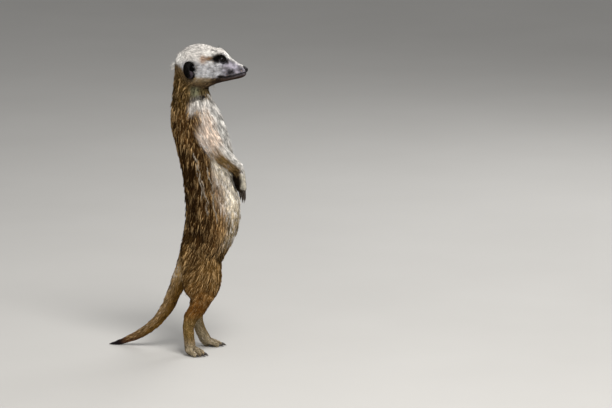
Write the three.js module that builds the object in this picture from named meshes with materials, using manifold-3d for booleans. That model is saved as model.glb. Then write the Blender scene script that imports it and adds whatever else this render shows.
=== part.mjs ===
// A life-size meerkat standing upright on its hind feet, with its arms hanging in front of its belly and
// its tail laid back to the floor as a prop.
// Millimetres. +X is the way it faces, +Y is its left, +Z is up, and the floor is Z = 0.
// The pieces show the outline of the coat. Each part of the body that has a name is a solid of its own.
import * as THREE from "three";
import { mergeVertices } from "three/addons/utils/BufferGeometryUtils.js";
import Module from "manifold-3d";

const wasm = await Module();
wasm.setup();

// ---------------------------------------------------------------- driving sizes

const GAP = 0.3; // clearance between two pieces that meet
const FAR = 500; // more than the animal's height, for the blocks that part its pieces
const RIGHT = -1; // the sign of Y on the animal's right side
const LEFT = 1;

const HEAD_SQUARE = 2.25; // how far an oval ring fills out towards a rectangle, where 2 is an ellipse
const TRUNK_SQUARE = 2.15;

const NECK_CUT = 258; // height of the cut between the neck and the chest
const WAIST_CUT = 178; // height of the cut between the chest and the belly
const HIP_CUT = 122; // height of the cut between the belly and the hips

const EYE_RADIUS = 5;
const EYE_CENTRE = [21.7, 9.5, 297.6]; // on the left side
const NOSE_HALF = [4.2, 4.3, 3.5]; // along X, Y and Z
const NOSE_CENTRE = [44.4, 0, 286.2];

const EAR_HALF = [6.3, 5.2, 9];
const EAR_CENTRE = [-9.4, 20.6, 289]; // on the left side
const EAR_WALL = 1.5;
const EAR_MOUTH = [2.1, 4.2, -0.4]; // how far the hollow is set forwards, outwards and upwards in an ear
const EAR_TURN = 0.5; // radians that an ear's mouth is turned forwards from straight sideways
const EAR_LEAN = 0.22; // radians that the top of an ear leans back

const DIGITS = 4; // toes on a foot, and fingers on a hand
const TOE_SPACING = 4.1;
const TOE_HALF = 2.6;
const TOE_REACH = [11, 14, 13.5, 10.5]; // ahead of the ball of the foot, from the inner toe to the outer
const TOE_CLAW = { length: 4.8, half: 1.1, drop: 0.7 };
const TOE_DIP = 0.12; // how far a toe claw points down for each millimetre that it points ahead

const FINGER_SPACING = 3.1;
const FINGER_HALF = 2.1;
const FINGER_REACH = [20, 22.6, 22.2, 19.4]; // below the wrist, from the inner finger to the outer
const FINGER_CLAW = { length: 10.5, half: 1.25, drop: 2.2 };
const FINGER_LIFT = 0.1; // how far a finger claw points ahead for each millimetre that it points down
const CLAW_ROOT = 0.6; // how far inside a digit's end its claw's nominal start is

// ---------------------------------------------------------------- stations of the body
// A station is [x, y, z, fore, aft, side]: the middle of an oval ring and its half-sizes.

// Rings of the trunk and neck lie level. Each row is [height, back, front, half-width].
const TRUNK_ROWS = [
  [64, -3, 3, 0],
  [72, -12, 12, 13],
  [84, -17.5, 18.5, 23],
  [96, -20, 22, 27.5],
  [108, -18.4, 29.5, 29.5],
  [122, -15.4, 37, 30.3],
  [138, -13, 39.4, 30.3],
  [156, -13.4, 38.2, 29.6],
  [174, -15, 33, 28.6],
  [190, -17.8, 32, 27.6],
  [206, -22, 30.4, 26.6],
  [222, -26, 27.6, 25.2],
  [238, -28, 21.6, 23],
  [250, -27, 16, 20.6],
  [260, -25.8, 9.8, 18.8],
  [270, -25.2, 8.4, 18.4],
  [282, -24.4, 7.4, 18.8],
  [292, -12, -4, 0],
];
const TRUNK = TRUNK_ROWS.map(([z, back, front, side]) => {
  const half = side ? (front - back) / 2 : 0;
  return [(front + back) / 2, 0, z, half, half, side];
});

// Rings of the head stand upright. Each row is [x, top, bottom, height of the widest place, half-width].
const HEAD_ROWS = [
  [-24.6, 288, 288, 288, 0],
  [-22.4, 299, 276, 288, 10.5],
  [-17, 304.9, 268.5, 287.5, 16.8],
  [-10, 310, 264.5, 286.5, 20.9],
  [-3, 311.6, 264, 286, 22.6],
  [4, 311.8, 266.8, 286, 22.4],
  [10.5, 310, 270, 286.5, 20.4],
  [16, 307.9, 272.2, 288, 17.8],
  [21.5, 307, 273.8, 289.5, 15],
  [25, 305, 274.6, 289.2, 12.6],
  [28.5, 301, 275.3, 287.5, 10.9],
  [32.5, 296.9, 276.3, 286, 9.4],
  [37, 293.5, 277.2, 285.2, 8],
  [41.5, 291, 278.4, 284.8, 6.9],
  [45, 289, 280, 285, 5.3],
  [47.4, 285.4, 285.4, 285.4, 0],
];
const HEAD = HEAD_ROWS.map(([x, top, bottom, wide, side]) => [
  x, 0, wide, wide - bottom, top - wide, side,
]);

// The mouth, seen from the side: the line from the lips to the corner, and the region of the jaw under it.
const MOUTH = [[46.5, 284], [42, 283.2], [34, 281], [26, 280], [19.5, 281.6]];
const JAW_FLOOR = [[17, 277], [17, 264], [50, 264], [50, 284]];

// Half-sizes along a limb as [fore, aft, side], from the trunk outwards. Left and right share them, while
// the joints' places differ.
const THIGH_HALVES = [
  [0, 0, 0], [17.5, 17.5, 12.5], [19.8, 19.6, 13.6], [19.2, 19.2, 12.6], [15.8, 15.8, 10], [0, 0, 0],
];
const SHANK_HALVES = [
  [0, 0, 0], [10.5, 10.5, 9.4], [8.8, 8.8, 8.2], [8.2, 8.2, 7.4], [7, 7, 6.6],
  [5.5, 5.5, 5.8], [5.2, 5.2, 5.8], [5.6, 5.6, 7], [0, 0, 0],
];
const ARM_HALVES = [
  [0, 0, 0], [13, 13, 7.5], [11.6, 11.6, 8], [9.6, 9.6, 7.6], [7.9, 7.9, 6.9], [5.9, 5.9, 5.9], [0, 0, 0],
];

// Each leg: joints as [x, distance out from the middle, z], and the turn of the foot outwards.
const LEGS = {
  right: {
    side: RIGHT,
    thigh: [
      [-5, 15, 124], [-1, 16, 108], [1.8, 18, 90], [1.8, 20.6, 76], [1.4, 22, 64], [1.4, 22.2, 54],
    ],
    shank: [
      [9, 22.6, 72], [7, 22.8, 66], [1.3, 22.2, 55.5], [-3, 21.4, 47], [-9.4, 20.8, 38.5],
      [-12, 20.2, 28], [-11.2, 20, 17], [-9.6, 20, 4.8], [-8.8, 20, -3.8],
    ],
    foot: { x: -9.6, out: 20, turn: 0.5 },
  },
  left: {
    side: LEFT,
    thigh: [
      [-5.5, 15, 122], [-2, 16, 106], [0.6, 18, 88], [0.6, 20.6, 73], [0.4, 22, 60.5], [0.4, 22.2, 50.5],
    ],
    shank: [
      [7.5, 22.6, 68], [5, 22.8, 61.5], [0, 22.4, 51], [-3.6, 21.8, 43], [-5, 21.4, 35],
      [-4, 21, 26], [-1, 20.6, 17], [4, 20.4, 7], [7, 20.4, -3.8],
    ],
    foot: { x: 6, out: 20.4, turn: 0.15 },
  },
};

// Each arm: joints from the shoulder to the wrist, and the hand that hangs from it.
const ARMS = {
  right: {
    side: RIGHT,
    arm: [
      [-7, 12, 254], [-1.6, 16.6, 241], [7, 20.6, 224], [17.6, 22.2, 208],
      [28.6, 19, 197.4], [38, 13.6, 189], [42, 11, 184],
    ],
    hand: { x: 39, out: 12.4, z: 184.4, tilt: 0.2, turn: 0.5 },
  },
  left: {
    side: LEFT,
    arm: [
      [-7, 12, 253], [-1.8, 16.6, 240], [6, 20.6, 222], [15.6, 22.2, 205],
      [26, 19, 193], [34.4, 13.6, 184.6], [38, 11, 180],
    ],
    hand: { x: 38.4, out: 12.4, z: 182, tilt: 0.2, turn: 0.5 },
  },
};

// The palm hangs from the wrist. Each row is [x, z, half-thickness, what the half-width has over that].
const PALM = [[0, 4, 0, 0], [0, 0, 5.2, 1.4], [0.3, -6, 4.8, 1.6], [0.6, -11, 4.2, 1.6], [0.6, -15, 0, 0]];

const HOCK_SHARE = 0.52; // share of the lower leg's stations at which the foot starts
const HOCK_CUT = [0.25, 0, 1]; // direction square to the cut at the hock
const ELBOW_SHARE = 0.5; // share of the arm's stations at which the forearm starts
const ELBOW_CUT = [-0.55, 0, 0.83]; // direction square to the cut at the elbow

// The tail, from inside the hips to its tip on the floor: [x, y, z, half-thickness].
const TAIL_ROWS = [
  [-6, 0, 114, 0],
  [-12.4, 0, 98, 8.4],
  [-18.4, 0.6, 81, 7.4],
  [-22.8, 1.6, 68, 7],
  [-27, 3, 58, 6.6],
  [-33.8, 7, 42.2, 6],
  [-44.3, 12, 27.4, 5],
  [-54.4, 16.5, 18.2, 4.6],
  [-65.8, 21, 10.4, 4],
  [-74, 23.6, 6.6, 3.1],
  [-82, 25.6, 3, 2.4],
  [-88.6, 26.8, 1.1, 1.6],
  [-94.4, 27.4, 0.5, 0],
];
const TAIL = TAIL_ROWS.map(([x, y, z, half]) => [x, y, z, half, half, half]);
const TAIL_CUTS = [0.44, 0.73]; // shares of the tail's stations at which its three lengths meet

// Facets round each kind of body, and rows of them between two stations.
const HEAD_FACETS = { around: 18, rows: 2, axis: new THREE.Vector3(1, 0, 0), square: HEAD_SQUARE };
const TRUNK_FACETS = { around: 20, rows: 1, axis: new THREE.Vector3(0, 0, 1), square: TRUNK_SQUARE };
const THIGH_FACETS = { around: 14, rows: 2 };
const SHANK_FACETS = { around: 10, rows: 1 };
const ARM_FACETS = { around: 10, rows: 2 };
const PALM_FACETS = { around: 8, rows: 1 };
const DIGIT_FACETS = { around: 6, rows: 1 };
const CLAW_FACETS = { around: 5, rows: 1 };
const TAIL_FACETS = { around: 10, rows: 1 };

// ---------------------------------------------------------------- making solids

const spline = (a, b, c, d, t) =>
  b + 0.5 * t * (c - a + t * (2 * a - 5 * b + 4 * c - d + t * (3 * (b - c) + d - a)));

// The station at a share of the way along a list of stations. Half-sizes are joined by their squares,
// so that a body whose last ring has no size ends in a round dome.
function stationAt(stations, share) {
  const place = share * (stations.length - 1);
  const first = Math.min(Math.floor(place), stations.length - 2);
  const four = [-1, 0, 1, 2].map((k) => stations[Math.max(0, Math.min(stations.length - 1, first + k))]);
  return four[1].map((_, i) => {
    const values = four.map((s) => (i < 3 ? s[i] : s[i] ** 2));
    const joined = spline(...values, place - first);
    return i < 3 ? joined : Math.sqrt(Math.max(0, joined));
  });
}

const power = (value, exponent) => Math.sign(value) * Math.abs(value) ** exponent;

// A closed body of oval rings along its stations. The rows of a sphere are moved onto the rings, and its
// two poles onto the ends. Rings stand square to the path, or to a fixed axis where one is given.
function loft(stations, { around = 16, rows = 2, axis = null, square = 2, grow = 0 } = {}) {
  const steps = (stations.length - 1) * rows;
  const geometry = new THREE.SphereGeometry(1, around, steps);
  const { position, uv } = geometry.attributes;
  const step = 0.5 / steps;
  for (let i = 0; i < position.count; i++) {
    const share = Math.floor(i / (around + 1)) / steps;
    const [x, y, z, fore, aft, side] = stationAt(stations, share);
    const before = new THREE.Vector3(...stationAt(stations, Math.max(0, share - step)));
    const after = new THREE.Vector3(...stationAt(stations, Math.min(1, share + step)));
    const along = axis ? axis.clone() : after.sub(before).normalize();
    const sideways = new THREE.Vector3(0, 1, 0).addScaledVector(along, -along.y).normalize();
    const forwards = new THREE.Vector3().crossVectors(sideways, along);
    const angle = 2 * Math.PI * uv.getX(Math.floor(i / (around + 1)) ? i : i + around + 1);
    const c = power(-Math.cos(angle), 2 / square);
    const s = power(Math.sin(angle), 2 / square);
    const open = Math.min(1, side); // a ring of no size stays a point when the body is grown
    const point = new THREE.Vector3(x, y, z)
      .addScaledVector(forwards, c * ((c > 0 ? fore : aft) + grow * open))
      .addScaledVector(sideways, s * (side + grow * open))
      .addScaledVector(along, share === 0 ? -grow : share === 1 ? grow : 0);
    position.setXYZ(i, point.x, point.y, point.z);
  }
  return geometry;
}

function toSolid(geometry) {
  const bare = geometry.clone();
  bare.deleteAttribute("normal");
  bare.deleteAttribute("uv");
  const merged = mergeVertices(bare, 1e-4);
  return new wasm.Manifold(
    new wasm.Mesh({
      numProp: 3,
      vertProperties: merged.attributes.position.array,
      triVerts: new Uint32Array(merged.index.array),
    }),
  );
}

function toGeometry(solid) {
  const { vertProperties, triVerts } = solid.getMesh();
  return new THREE.BufferGeometry()
    .setAttribute("position", new THREE.BufferAttribute(new Float32Array(vertProperties), 3))
    .setIndex(new THREE.BufferAttribute(new Uint32Array(triVerts), 1));
}

// The largest of the bodies that a cut leaves.
const largest = (solid) => solid.decompose().reduce((a, b) => (a.volume() > b.volume() ? a : b));

// Parts a solid by a thin flat cut through a point. The first piece is the one ahead of the cut.
function part(solid, [x, y, z], normal) {
  const direction = new THREE.Vector3(...normal).normalize();
  const turn = new THREE.Quaternion().setFromUnitVectors(new THREE.Vector3(0, 0, 1), direction);
  const halfSpace = (sign) => {
    const box = new THREE.BoxGeometry(FAR, FAR, FAR).translate(0, 0, (sign * (FAR + GAP)) / 2);
    return toSolid(box.applyQuaternion(turn).translate(x, y, z));
  };
  return [1, -1].map((sign) => solid.intersect(halfSpace(sign)));
}

const aboveFloor = (solid) => part(solid, [0, 0, -GAP / 2], [0, 0, 1])[0];

const withHalves = (joints, halves, side) =>
  joints.map(([x, out, z], i) => [x, out * side, z, ...halves[i]]);

// An oval ball with the given half-sizes.
function ball(centre, halves, { around = 10, rows = 7, turn = null } = {}) {
  const geometry = new THREE.SphereGeometry(1, around, rows).rotateX(Math.PI / 2).scale(...halves);
  if (turn) geometry.applyQuaternion(turn);
  return toSolid(geometry.translate(...centre));
}

// ---------------------------------------------------------------- materials

const fur = (color) => new THREE.MeshStandardMaterial({ color, roughness: 0.95, metalness: 0 });
const FACE_FUR = fur(0xd6cdbd);
const NECK_FUR = fur(0xa28c68);
const CHEST_FUR = fur(0xb79f80);
const FLANK_FUR = fur(0x94764f);
const LEG_FUR = fur(0x96703e);
const PAW_FUR = fur(0xa98e62);
const TAIL_FUR = fur(0x8f6f45);
const DARK_FUR = fur(0x2a211c);
const EAR_SKIN = fur(0x1d1919);
const NOSE_SKIN = new THREE.MeshStandardMaterial({ color: 0x1a1717, roughness: 0.45, metalness: 0 });
const EYE_GLASS = new THREE.MeshStandardMaterial({ color: 0x120b08, roughness: 0.05, metalness: 0 });
const CLAW_HORN = new THREE.MeshStandardMaterial({ color: 0x2c231d, roughness: 0.4, metalness: 0 });

// ---------------------------------------------------------------- paws

// A tapered claw that leaves a digit's end and curves down. It starts inside the digit.
function clawStations(start, along, down, { length, half, drop }) {
  const shares = [-0.3, -0.12, 0.25, 0.62, 1];
  const sizes = [0, 1, 0.9, 0.6, 0];
  return shares.map((share, i) => {
    const fall = drop * Math.max(0, share) ** 2;
    const point = start.clone().addScaledVector(along, share * length).addScaledVector(down, fall);
    const size = half * sizes[i];
    return [point.x, point.y, point.z, size, size, size * 0.75];
  });
}

// A body as it is, and grown by the gap that its neighbours keep.
const exactAndGrown = (stations, options) => [
  loft(stations, options),
  loft(stations, { ...options, grow: GAP }),
];

// The digits of a paw with their claws, in the paw's own frame.
function digits(makeDigit, claw, along, down) {
  const fingers = [];
  const claws = [];
  for (let k = 0; k < DIGITS; k++) {
    const stations = makeDigit(k);
    fingers.push(exactAndGrown(stations, DIGIT_FACETS));
    const tip = new THREE.Vector3(...stations.at(-1)).addScaledVector(along, -CLAW_ROOT);
    claws.push(exactAndGrown(clawStations(tip, along, down, claw), CLAW_FACETS));
  }
  return { fingers, claws };
}

// The inner digit is number 0, so the numbers run outwards on either side.
const spread = (k, spacing, side) => side * (k - (DIGITS - 1) / 2) * spacing;

function toeStations(side, k) {
  const y = spread(k, TOE_SPACING, side);
  const reach = TOE_REACH[k];
  const row = (x, fan, z, half) => [x, y * fan, z, half, half, half];
  return [
    row(-5, 0.7, 6, 0),
    row(0, 0.85, 6.2, TOE_HALF * 1.15),
    row(reach * 0.5, 1, 4, TOE_HALF),
    row(reach * 0.92, 1.12, 1.8, TOE_HALF),
    row(reach * 1.1, 1.15, 1.8, 0),
  ];
}

function fingerStations(side, k) {
  const y = spread(k, FINGER_SPACING, side);
  const reach = FINGER_REACH[k];
  const row = (x, fan, z, half) => [x, y * fan, -z, half, half, half];
  return [
    row(0.5, 0.7, reach * 0.3, 0),
    row(0.6, 0.85, reach * 0.5, FINGER_HALF * 1.1),
    row(0.8, 1, reach * 0.7, FINGER_HALF * 1.05),
    row(0.5, 1.08, reach * 0.88, FINGER_HALF),
    row(-0.2, 1.12, reach, 0),
  ];
}

// Moves geometries from a paw's own frame to the body's.
function placer(x, y, z, turnY, turnZ) {
  const matrix = new THREE.Matrix4()
    .makeTranslation(x, y, z)
    .multiply(new THREE.Matrix4().makeRotationZ(turnZ))
    .multiply(new THREE.Matrix4().makeRotationY(turnY));
  return (geometry) => toSolid(geometry.applyMatrix4(matrix));
}

// Joins a limb and its digits, and takes the claws' roots out of the digits.
function joinPaw(limb, { fingers, claws }, place) {
  let whole = limb;
  let grown = null;
  for (const [exact, wider] of fingers) {
    whole = whole.add(place(exact));
    const solid = place(wider);
    grown = grown ? grown.add(solid) : solid;
  }
  const placed = claws.map(([exact, wider]) => [place(exact), place(wider)]);
  for (const [, wider] of placed) whole = whole.subtract(wider);
  return { whole, grown, claws: placed.map(([exact]) => exact) };
}

// ---------------------------------------------------------------- limbs

function makeLeg({ side, thigh, shank, foot }) {
  const thighStations = withHalves(thigh, THIGH_HALVES, side);
  const shankStations = withHalves(shank, SHANK_HALVES, side);
  const [solidThigh, grown] = exactAndGrown(thighStations, THIGH_FACETS).map(toSolid);
  const [solidShank, grownShank] = exactAndGrown(shankStations, SHANK_FACETS).map(toSolid);
  const forwards = new THREE.Vector3(1, 0, -TOE_DIP).normalize();
  const toes = digits((k) => toeStations(side, k), TOE_CLAW, forwards, new THREE.Vector3(0, 0, -1));
  const place = placer(foot.x, foot.out * side, 0, 0, foot.turn * side);
  const paw = joinPaw(solidShank, toes, place);
  const [upper, lower] = part(paw.whole, stationAt(shankStations, HOCK_SHARE), HOCK_CUT);
  return {
    thigh: solidThigh,
    shank: largest(upper.subtract(grown)),
    foot: aboveFloor(lower),
    claws: paw.claws.map(aboveFloor),
    grown: grown.add(grownShank),
  };
}

function makeArm({ side, arm, hand }) {
  const stations = withHalves(arm, ARM_HALVES, side);
  const [whole, grown] = exactAndGrown(stations, ARM_FACETS).map(toSolid);
  const palm = PALM.map(([x, z, half, spare]) => [x, 0, z, half, half, half + spare]);
  const downwards = new THREE.Vector3(FINGER_LIFT, 0, -1).normalize();
  const fingers = digits(
    (k) => fingerStations(side, k), FINGER_CLAW, downwards, new THREE.Vector3(-1, 0, 0),
  );
  const place = placer(hand.x, hand.out * side, hand.z, -hand.tilt, -hand.turn * side);
  const [palmSolid, grownPalm] = exactAndGrown(palm, PALM_FACETS).map(place);
  const paw = joinPaw(palmSolid, fingers, place);
  const [upper, forearm] = part(whole, stationAt(stations, ELBOW_SHARE), ELBOW_CUT);
  return {
    upper_arm: upper,
    forearm: largest(forearm),
    hand: largest(paw.whole.subtract(grown)),
    claws: paw.claws,
    grown: grown.add(grownPalm).add(paw.grown),
  };
}

// ---------------------------------------------------------------- head

function makeEar(side, head) {
  const turn = new THREE.Quaternion().setFromEuler(new THREE.Euler(0, -EAR_LEAN, -side * EAR_TURN, "ZYX"));
  const centre = [EAR_CENTRE[0], EAR_CENTRE[1] * side, EAR_CENTRE[2]];
  const outer = ball(centre, EAR_HALF, { around: 12, rows: 9, turn });
  const hollowHalves = EAR_HALF.map((half) => half - EAR_WALL);
  const [forwards, outwards, upwards] = EAR_MOUTH;
  const mouth = new THREE.Vector3(forwards, side * outwards, upwards).applyQuaternion(turn);
  const hollow = ball(centre.map((c, i) => c + mouth.getComponent(i)), hollowHalves, { turn });
  return largest(outer.subtract(hollow).subtract(head));
}

// A block across the head with the given outline in X and Z.
function acrossHead(outline) {
  const shape = new THREE.Shape(outline.map(([x, z]) => new THREE.Vector2(x, z)));
  const block = new THREE.ExtrudeGeometry(shape, { depth: FAR, bevelEnabled: false });
  return toSolid(block.rotateX(Math.PI / 2).translate(0, FAR / 2, 0));
}

function makeHead() {
  const [whole, grown] = exactAndGrown(HEAD, HEAD_FACETS).map(toSolid);
  const jaw = acrossHead([...MOUTH, ...JAW_FLOOR]);
  const [backOfJaw, ...restOfJaw] = JAW_FLOOR;
  const lips = MOUTH.map(([x, z]) => [x, z + GAP]);
  lips.at(-1)[0] -= GAP;
  const jawRoom = acrossHead([...lips, [backOfJaw[0] - GAP, backOfJaw[1]], ...restOfJaw]);
  const [nose, noseRoom] = [0, GAP].map((more) => ball(NOSE_CENTRE, NOSE_HALF.map((half) => half + more)));
  let skull = whole.subtract(jawRoom).subtract(noseRoom);
  const eyes = {};
  for (const [name, side] of [["right", RIGHT], ["left", LEFT]]) {
    const centre = [EYE_CENTRE[0], EYE_CENTRE[1] * side, EYE_CENTRE[2]];
    const sized = (radius) => ball(centre, [radius, radius, radius]);
    eyes[name] = sized(EYE_RADIUS);
    skull = skull.subtract(sized(EYE_RADIUS + GAP));
  }
  return {
    head: largest(skull),
    jaw: largest(whole.intersect(jaw).subtract(noseRoom)),
    nose,
    eyes,
    ears: { right: makeEar(RIGHT, grown), left: makeEar(LEFT, grown) },
    grown,
  };
}

// ---------------------------------------------------------------- the whole body

const body = new THREE.Group();

function show(name, solid, material) {
  const mesh = new THREE.Mesh(toGeometry(solid), material);
  mesh.name = name;
  body.add(mesh);
}

const head = makeHead();
const legs = { right: makeLeg(LEGS.right), left: makeLeg(LEGS.left) };
const arms = { right: makeArm(ARMS.right), left: makeArm(ARMS.left) };

const [wholeTrunk, grownTrunk] = exactAndGrown(TRUNK, TRUNK_FACETS).map(toSolid);
let trunk = wholeTrunk.subtract(head.grown);
for (const name of ["right", "left"]) trunk = trunk.subtract(legs[name].grown).subtract(arms[name].grown);
const [neck, underNeck] = part(trunk, [0, 0, NECK_CUT], [0, 0, 1]);
const [chest, underChest] = part(underNeck, [0, 0, WAIST_CUT], [0, 0, 1]);
const [belly, hips] = part(underChest, [0, 0, HIP_CUT], [0, 0, 1]);
show("neck", largest(neck), NECK_FUR);
show("chest", largest(chest), CHEST_FUR);
show("belly", largest(belly), FLANK_FUR);
show("hips", largest(hips), FLANK_FUR);

show("head", head.head, FACE_FUR);
show("lower_jaw", head.jaw, FACE_FUR);
show("nose", head.nose, NOSE_SKIN);

for (const name of ["right", "left"]) {
  show(`${name}_eye`, head.eyes[name], EYE_GLASS);
  show(`${name}_ear`, head.ears[name], EAR_SKIN);
  show(`${name}_upper_arm`, arms[name].upper_arm, CHEST_FUR);
  show(`${name}_forearm`, arms[name].forearm, CHEST_FUR);
  show(`${name}_hand`, arms[name].hand, DARK_FUR);
  arms[name].claws.forEach((claw, k) => show(`${name}_hand_claw_${k + 1}`, claw, CLAW_HORN));
  show(`${name}_thigh`, legs[name].thigh, LEG_FUR);
  show(`${name}_shank`, legs[name].shank, LEG_FUR);
  show(`${name}_foot`, legs[name].foot, PAW_FUR);
  legs[name].claws.forEach((claw, k) => show(`${name}_foot_claw_${k + 1}`, claw, CLAW_HORN));
}

let tail = aboveFloor(toSolid(loft(TAIL, TAIL_FACETS))).subtract(grownTrunk);
for (const name of ["right", "left"]) tail = tail.subtract(legs[name].grown);
const tailPieces = [];
for (const share of TAIL_CUTS) {
  const here = stationAt(TAIL, share).slice(0, 3);
  const next = stationAt(TAIL, share + 0.02).slice(0, 3);
  const [rest, done] = part(tail, here, next.map((value, i) => value - here[i]));
  tailPieces.push(largest(done));
  tail = rest;
}
show("tail_base", tailPieces[0], TAIL_FUR);
show("tail_middle", tailPieces[1], TAIL_FUR);
show("tail_tip", largest(tail), DARK_FUR);

// The part's origin is on the floor, under the middle of its outline.
const middle = new THREE.Box3().setFromObject(body).getCenter(new THREE.Vector3());
body.position.set(-middle.x, -middle.y, 0);

const meerkat = new THREE.Group();
meerkat.add(body);
export default meerkat;
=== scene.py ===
"""A still, life-size meerkat that stands upright on its hind legs: its skin, coat, eyes and setting."""

import math

import bmesh
import bpy
import numpy as np
from mathutils import Matrix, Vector
from mathutils.bvhtree import BVHTree
from mathutils.kdtree import KDTree


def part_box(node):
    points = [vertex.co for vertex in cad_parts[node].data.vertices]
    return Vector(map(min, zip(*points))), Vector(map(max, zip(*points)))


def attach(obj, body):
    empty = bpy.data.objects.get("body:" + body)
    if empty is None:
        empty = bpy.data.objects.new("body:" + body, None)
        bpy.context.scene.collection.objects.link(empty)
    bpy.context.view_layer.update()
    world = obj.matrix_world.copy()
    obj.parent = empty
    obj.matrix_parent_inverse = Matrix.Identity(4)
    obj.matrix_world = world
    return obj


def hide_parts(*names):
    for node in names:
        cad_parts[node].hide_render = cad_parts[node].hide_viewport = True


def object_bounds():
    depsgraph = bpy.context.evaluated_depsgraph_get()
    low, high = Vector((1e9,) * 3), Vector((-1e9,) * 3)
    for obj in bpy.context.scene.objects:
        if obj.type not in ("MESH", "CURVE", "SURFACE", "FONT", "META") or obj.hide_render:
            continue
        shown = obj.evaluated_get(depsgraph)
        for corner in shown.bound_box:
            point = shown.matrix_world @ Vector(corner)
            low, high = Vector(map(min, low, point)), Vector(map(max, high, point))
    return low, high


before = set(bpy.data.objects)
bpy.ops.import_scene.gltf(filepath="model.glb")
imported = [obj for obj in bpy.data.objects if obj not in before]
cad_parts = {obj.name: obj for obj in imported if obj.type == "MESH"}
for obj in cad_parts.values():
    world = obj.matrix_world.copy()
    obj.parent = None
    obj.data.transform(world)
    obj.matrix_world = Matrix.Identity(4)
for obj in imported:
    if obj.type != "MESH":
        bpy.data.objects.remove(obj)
CAD_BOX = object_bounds()

# The body's own axes, in millimetres: X to the front, Y to the animal's left, Z up from the floor.
MM = 0.001
EYE_PLACE = np.array([21.7, 9.5, 297.6])
EYE_RADIUS = 5.0
SIDES = {"right": -1, "left": 1}


def box_middle(node):
    low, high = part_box(node)
    return (np.array(low) + np.array(high)) / 2 / MM


SHIFT = (box_middle("right_eye") + box_middle("left_eye")) / 2 - EYE_PLACE * [1, 0, 1]


def to_scene(points):
    return (np.asarray(points, float) + SHIFT) * MM


def to_body(points):
    return np.asarray(points, float) / MM - SHIFT


# ---------------------------------------------------------------- small mathematics


def unit(vectors):
    vectors = np.asarray(vectors, float)
    return vectors / np.maximum(np.linalg.norm(vectors, axis=-1, keepdims=True), 1e-9)


def ramp(values, low, high):
    """A smooth step from 0 at low to 1 at high."""
    share = np.clip((values - low) / (high - low), 0, 1)
    return share * share * (3 - 2 * share)


def mixed(first, second, share):
    """From first to second by share. Either may be one number or colour, or one for each share."""
    first, second, share = (np.asarray(value, float) for value in (first, second, share))
    if share.ndim == 1 and (first.shape[-1:] == (3,) or second.shape[-1:] == (3,)):
        share = share[:, None]
    return first * (1 - share) + second * share


def spot(points, centre, halves, soft=0.5):
    """1 inside an ellipsoid and 0 outside it, with a soft rim."""
    reach = np.linalg.norm((points - np.array(centre)) / np.array(halves), axis=-1)
    return 1 - ramp(reach, 1 - soft, 1 + soft * 0.4)


def mirrored(points):
    """The points with the two sides of the body folded together, so that Y is never negative."""
    return points * [1, 0, 1] + np.abs(points) * [0, 1, 0]


class Noise:
    """Smooth random values from 0 to 1 over space, the same on every run."""

    CELLS = 32

    def __init__(self, seed, size):
        self.table = np.random.default_rng(seed).random((self.CELLS,) * 3)
        self.size = np.array(size, float)

    def __call__(self, points):
        place = points / self.size
        cell = np.floor(place).astype(int)
        part = place - cell
        part = part * part * (3 - 2 * part)
        total = np.zeros(len(points))
        for corner in np.ndindex(2, 2, 2):
            weight = np.prod(np.where(corner, part, 1 - part), axis=1)
            x, y, z = ((cell + corner) % self.CELLS).T
            total += weight * self.table[x, y, z]
        return total


def line_walk(line, points):
    """For each point: how far it is from the line, how far along the line, and the line's direction there."""
    line = np.asarray(line, float)
    best = np.full(len(points), 1e9)
    along = np.zeros(len(points))
    heading = np.zeros((len(points), 3))
    start = 0.0
    for a, b in zip(line[:-1], line[1:]):
        length = np.linalg.norm(b - a)
        share = np.clip((points - a) @ (b - a) / length**2, 0, 1)
        gap = np.linalg.norm(points - (a + share[:, None] * (b - a)), axis=1)
        near = gap < best
        best[near] = gap[near]
        along[near] = start + share[near] * length
        heading[near] = (b - a) / length
        start += length
    return best, along, heading


def linear(red, green, blue):
    """A colour given as 0 to 255 on screen, as the light it stands for."""
    value = np.array([red, green, blue]) / 255
    return np.where(value <= 0.04045, value / 12.92, ((value + 0.055) / 1.055) ** 2.4)


# ---------------------------------------------------------------- the lines that the body follows

TRUNK_LINE = [
    (-8, 0, 292), (-9, 0, 262), (-3, 0, 238), (5, 0, 206), (9, 0, 174), (13, 0, 138), (8, 0, 108), (0, 0, 64),
]
HEAD_LINE = [(48, 0, 286), (24, 0, 289), (0, 0, 288), (-24, 0, 288)]
TAIL_LINE = [
    (-6, 0, 114), (-12.4, 0, 98), (-18.4, 0.6, 81), (-27, 3, 58.6), (-33.8, 7, 42.2), (-44.3, 12, 27.4),
    (-54.4, 16.5, 18.2), (-65.8, 21, 10.4), (-82, 25.6, 3), (-94.4, 27.4, 0.5),
]
LEG_LINES = {
    "right": [
        (-3, 16, 124), (1.8, 18, 90), (9, 22.6, 72), (1.3, 22.2, 55), (-9.4, 20.8, 38), (-12, 20.2, 28),
        (-8.8, 20, 0),
    ],
    "left": [
        (-3, 16, 122), (0.6, 18, 88), (7.5, 22.6, 68), (0, 22.4, 51), (-5, 21.4, 35), (-1, 20.6, 17),
        (7, 20.4, 0),
    ],
}
ARM_LINES = {
    "right": [
        (-7, 12, 254), (-1.6, 16.6, 241), (7, 20.6, 224), (17.6, 22.2, 208), (28.6, 19, 197), (39, 12.6, 185),
        (42, 11, 160),
    ],
    "left": [
        (-7, 12, 253), (-1.8, 16.6, 240), (6, 20.6, 222), (15.6, 22.2, 205), (26, 19, 193), (38, 12.6, 182),
        (41, 11, 157),
    ],
}
FOOT_TURN = {"right": 0.5, "left": 0.15}


def sided(line, side):
    return [(x, y * SIDES[side], z) for x, y, z in line]


# ---------------------------------------------------------------- the coat's measures

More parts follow.
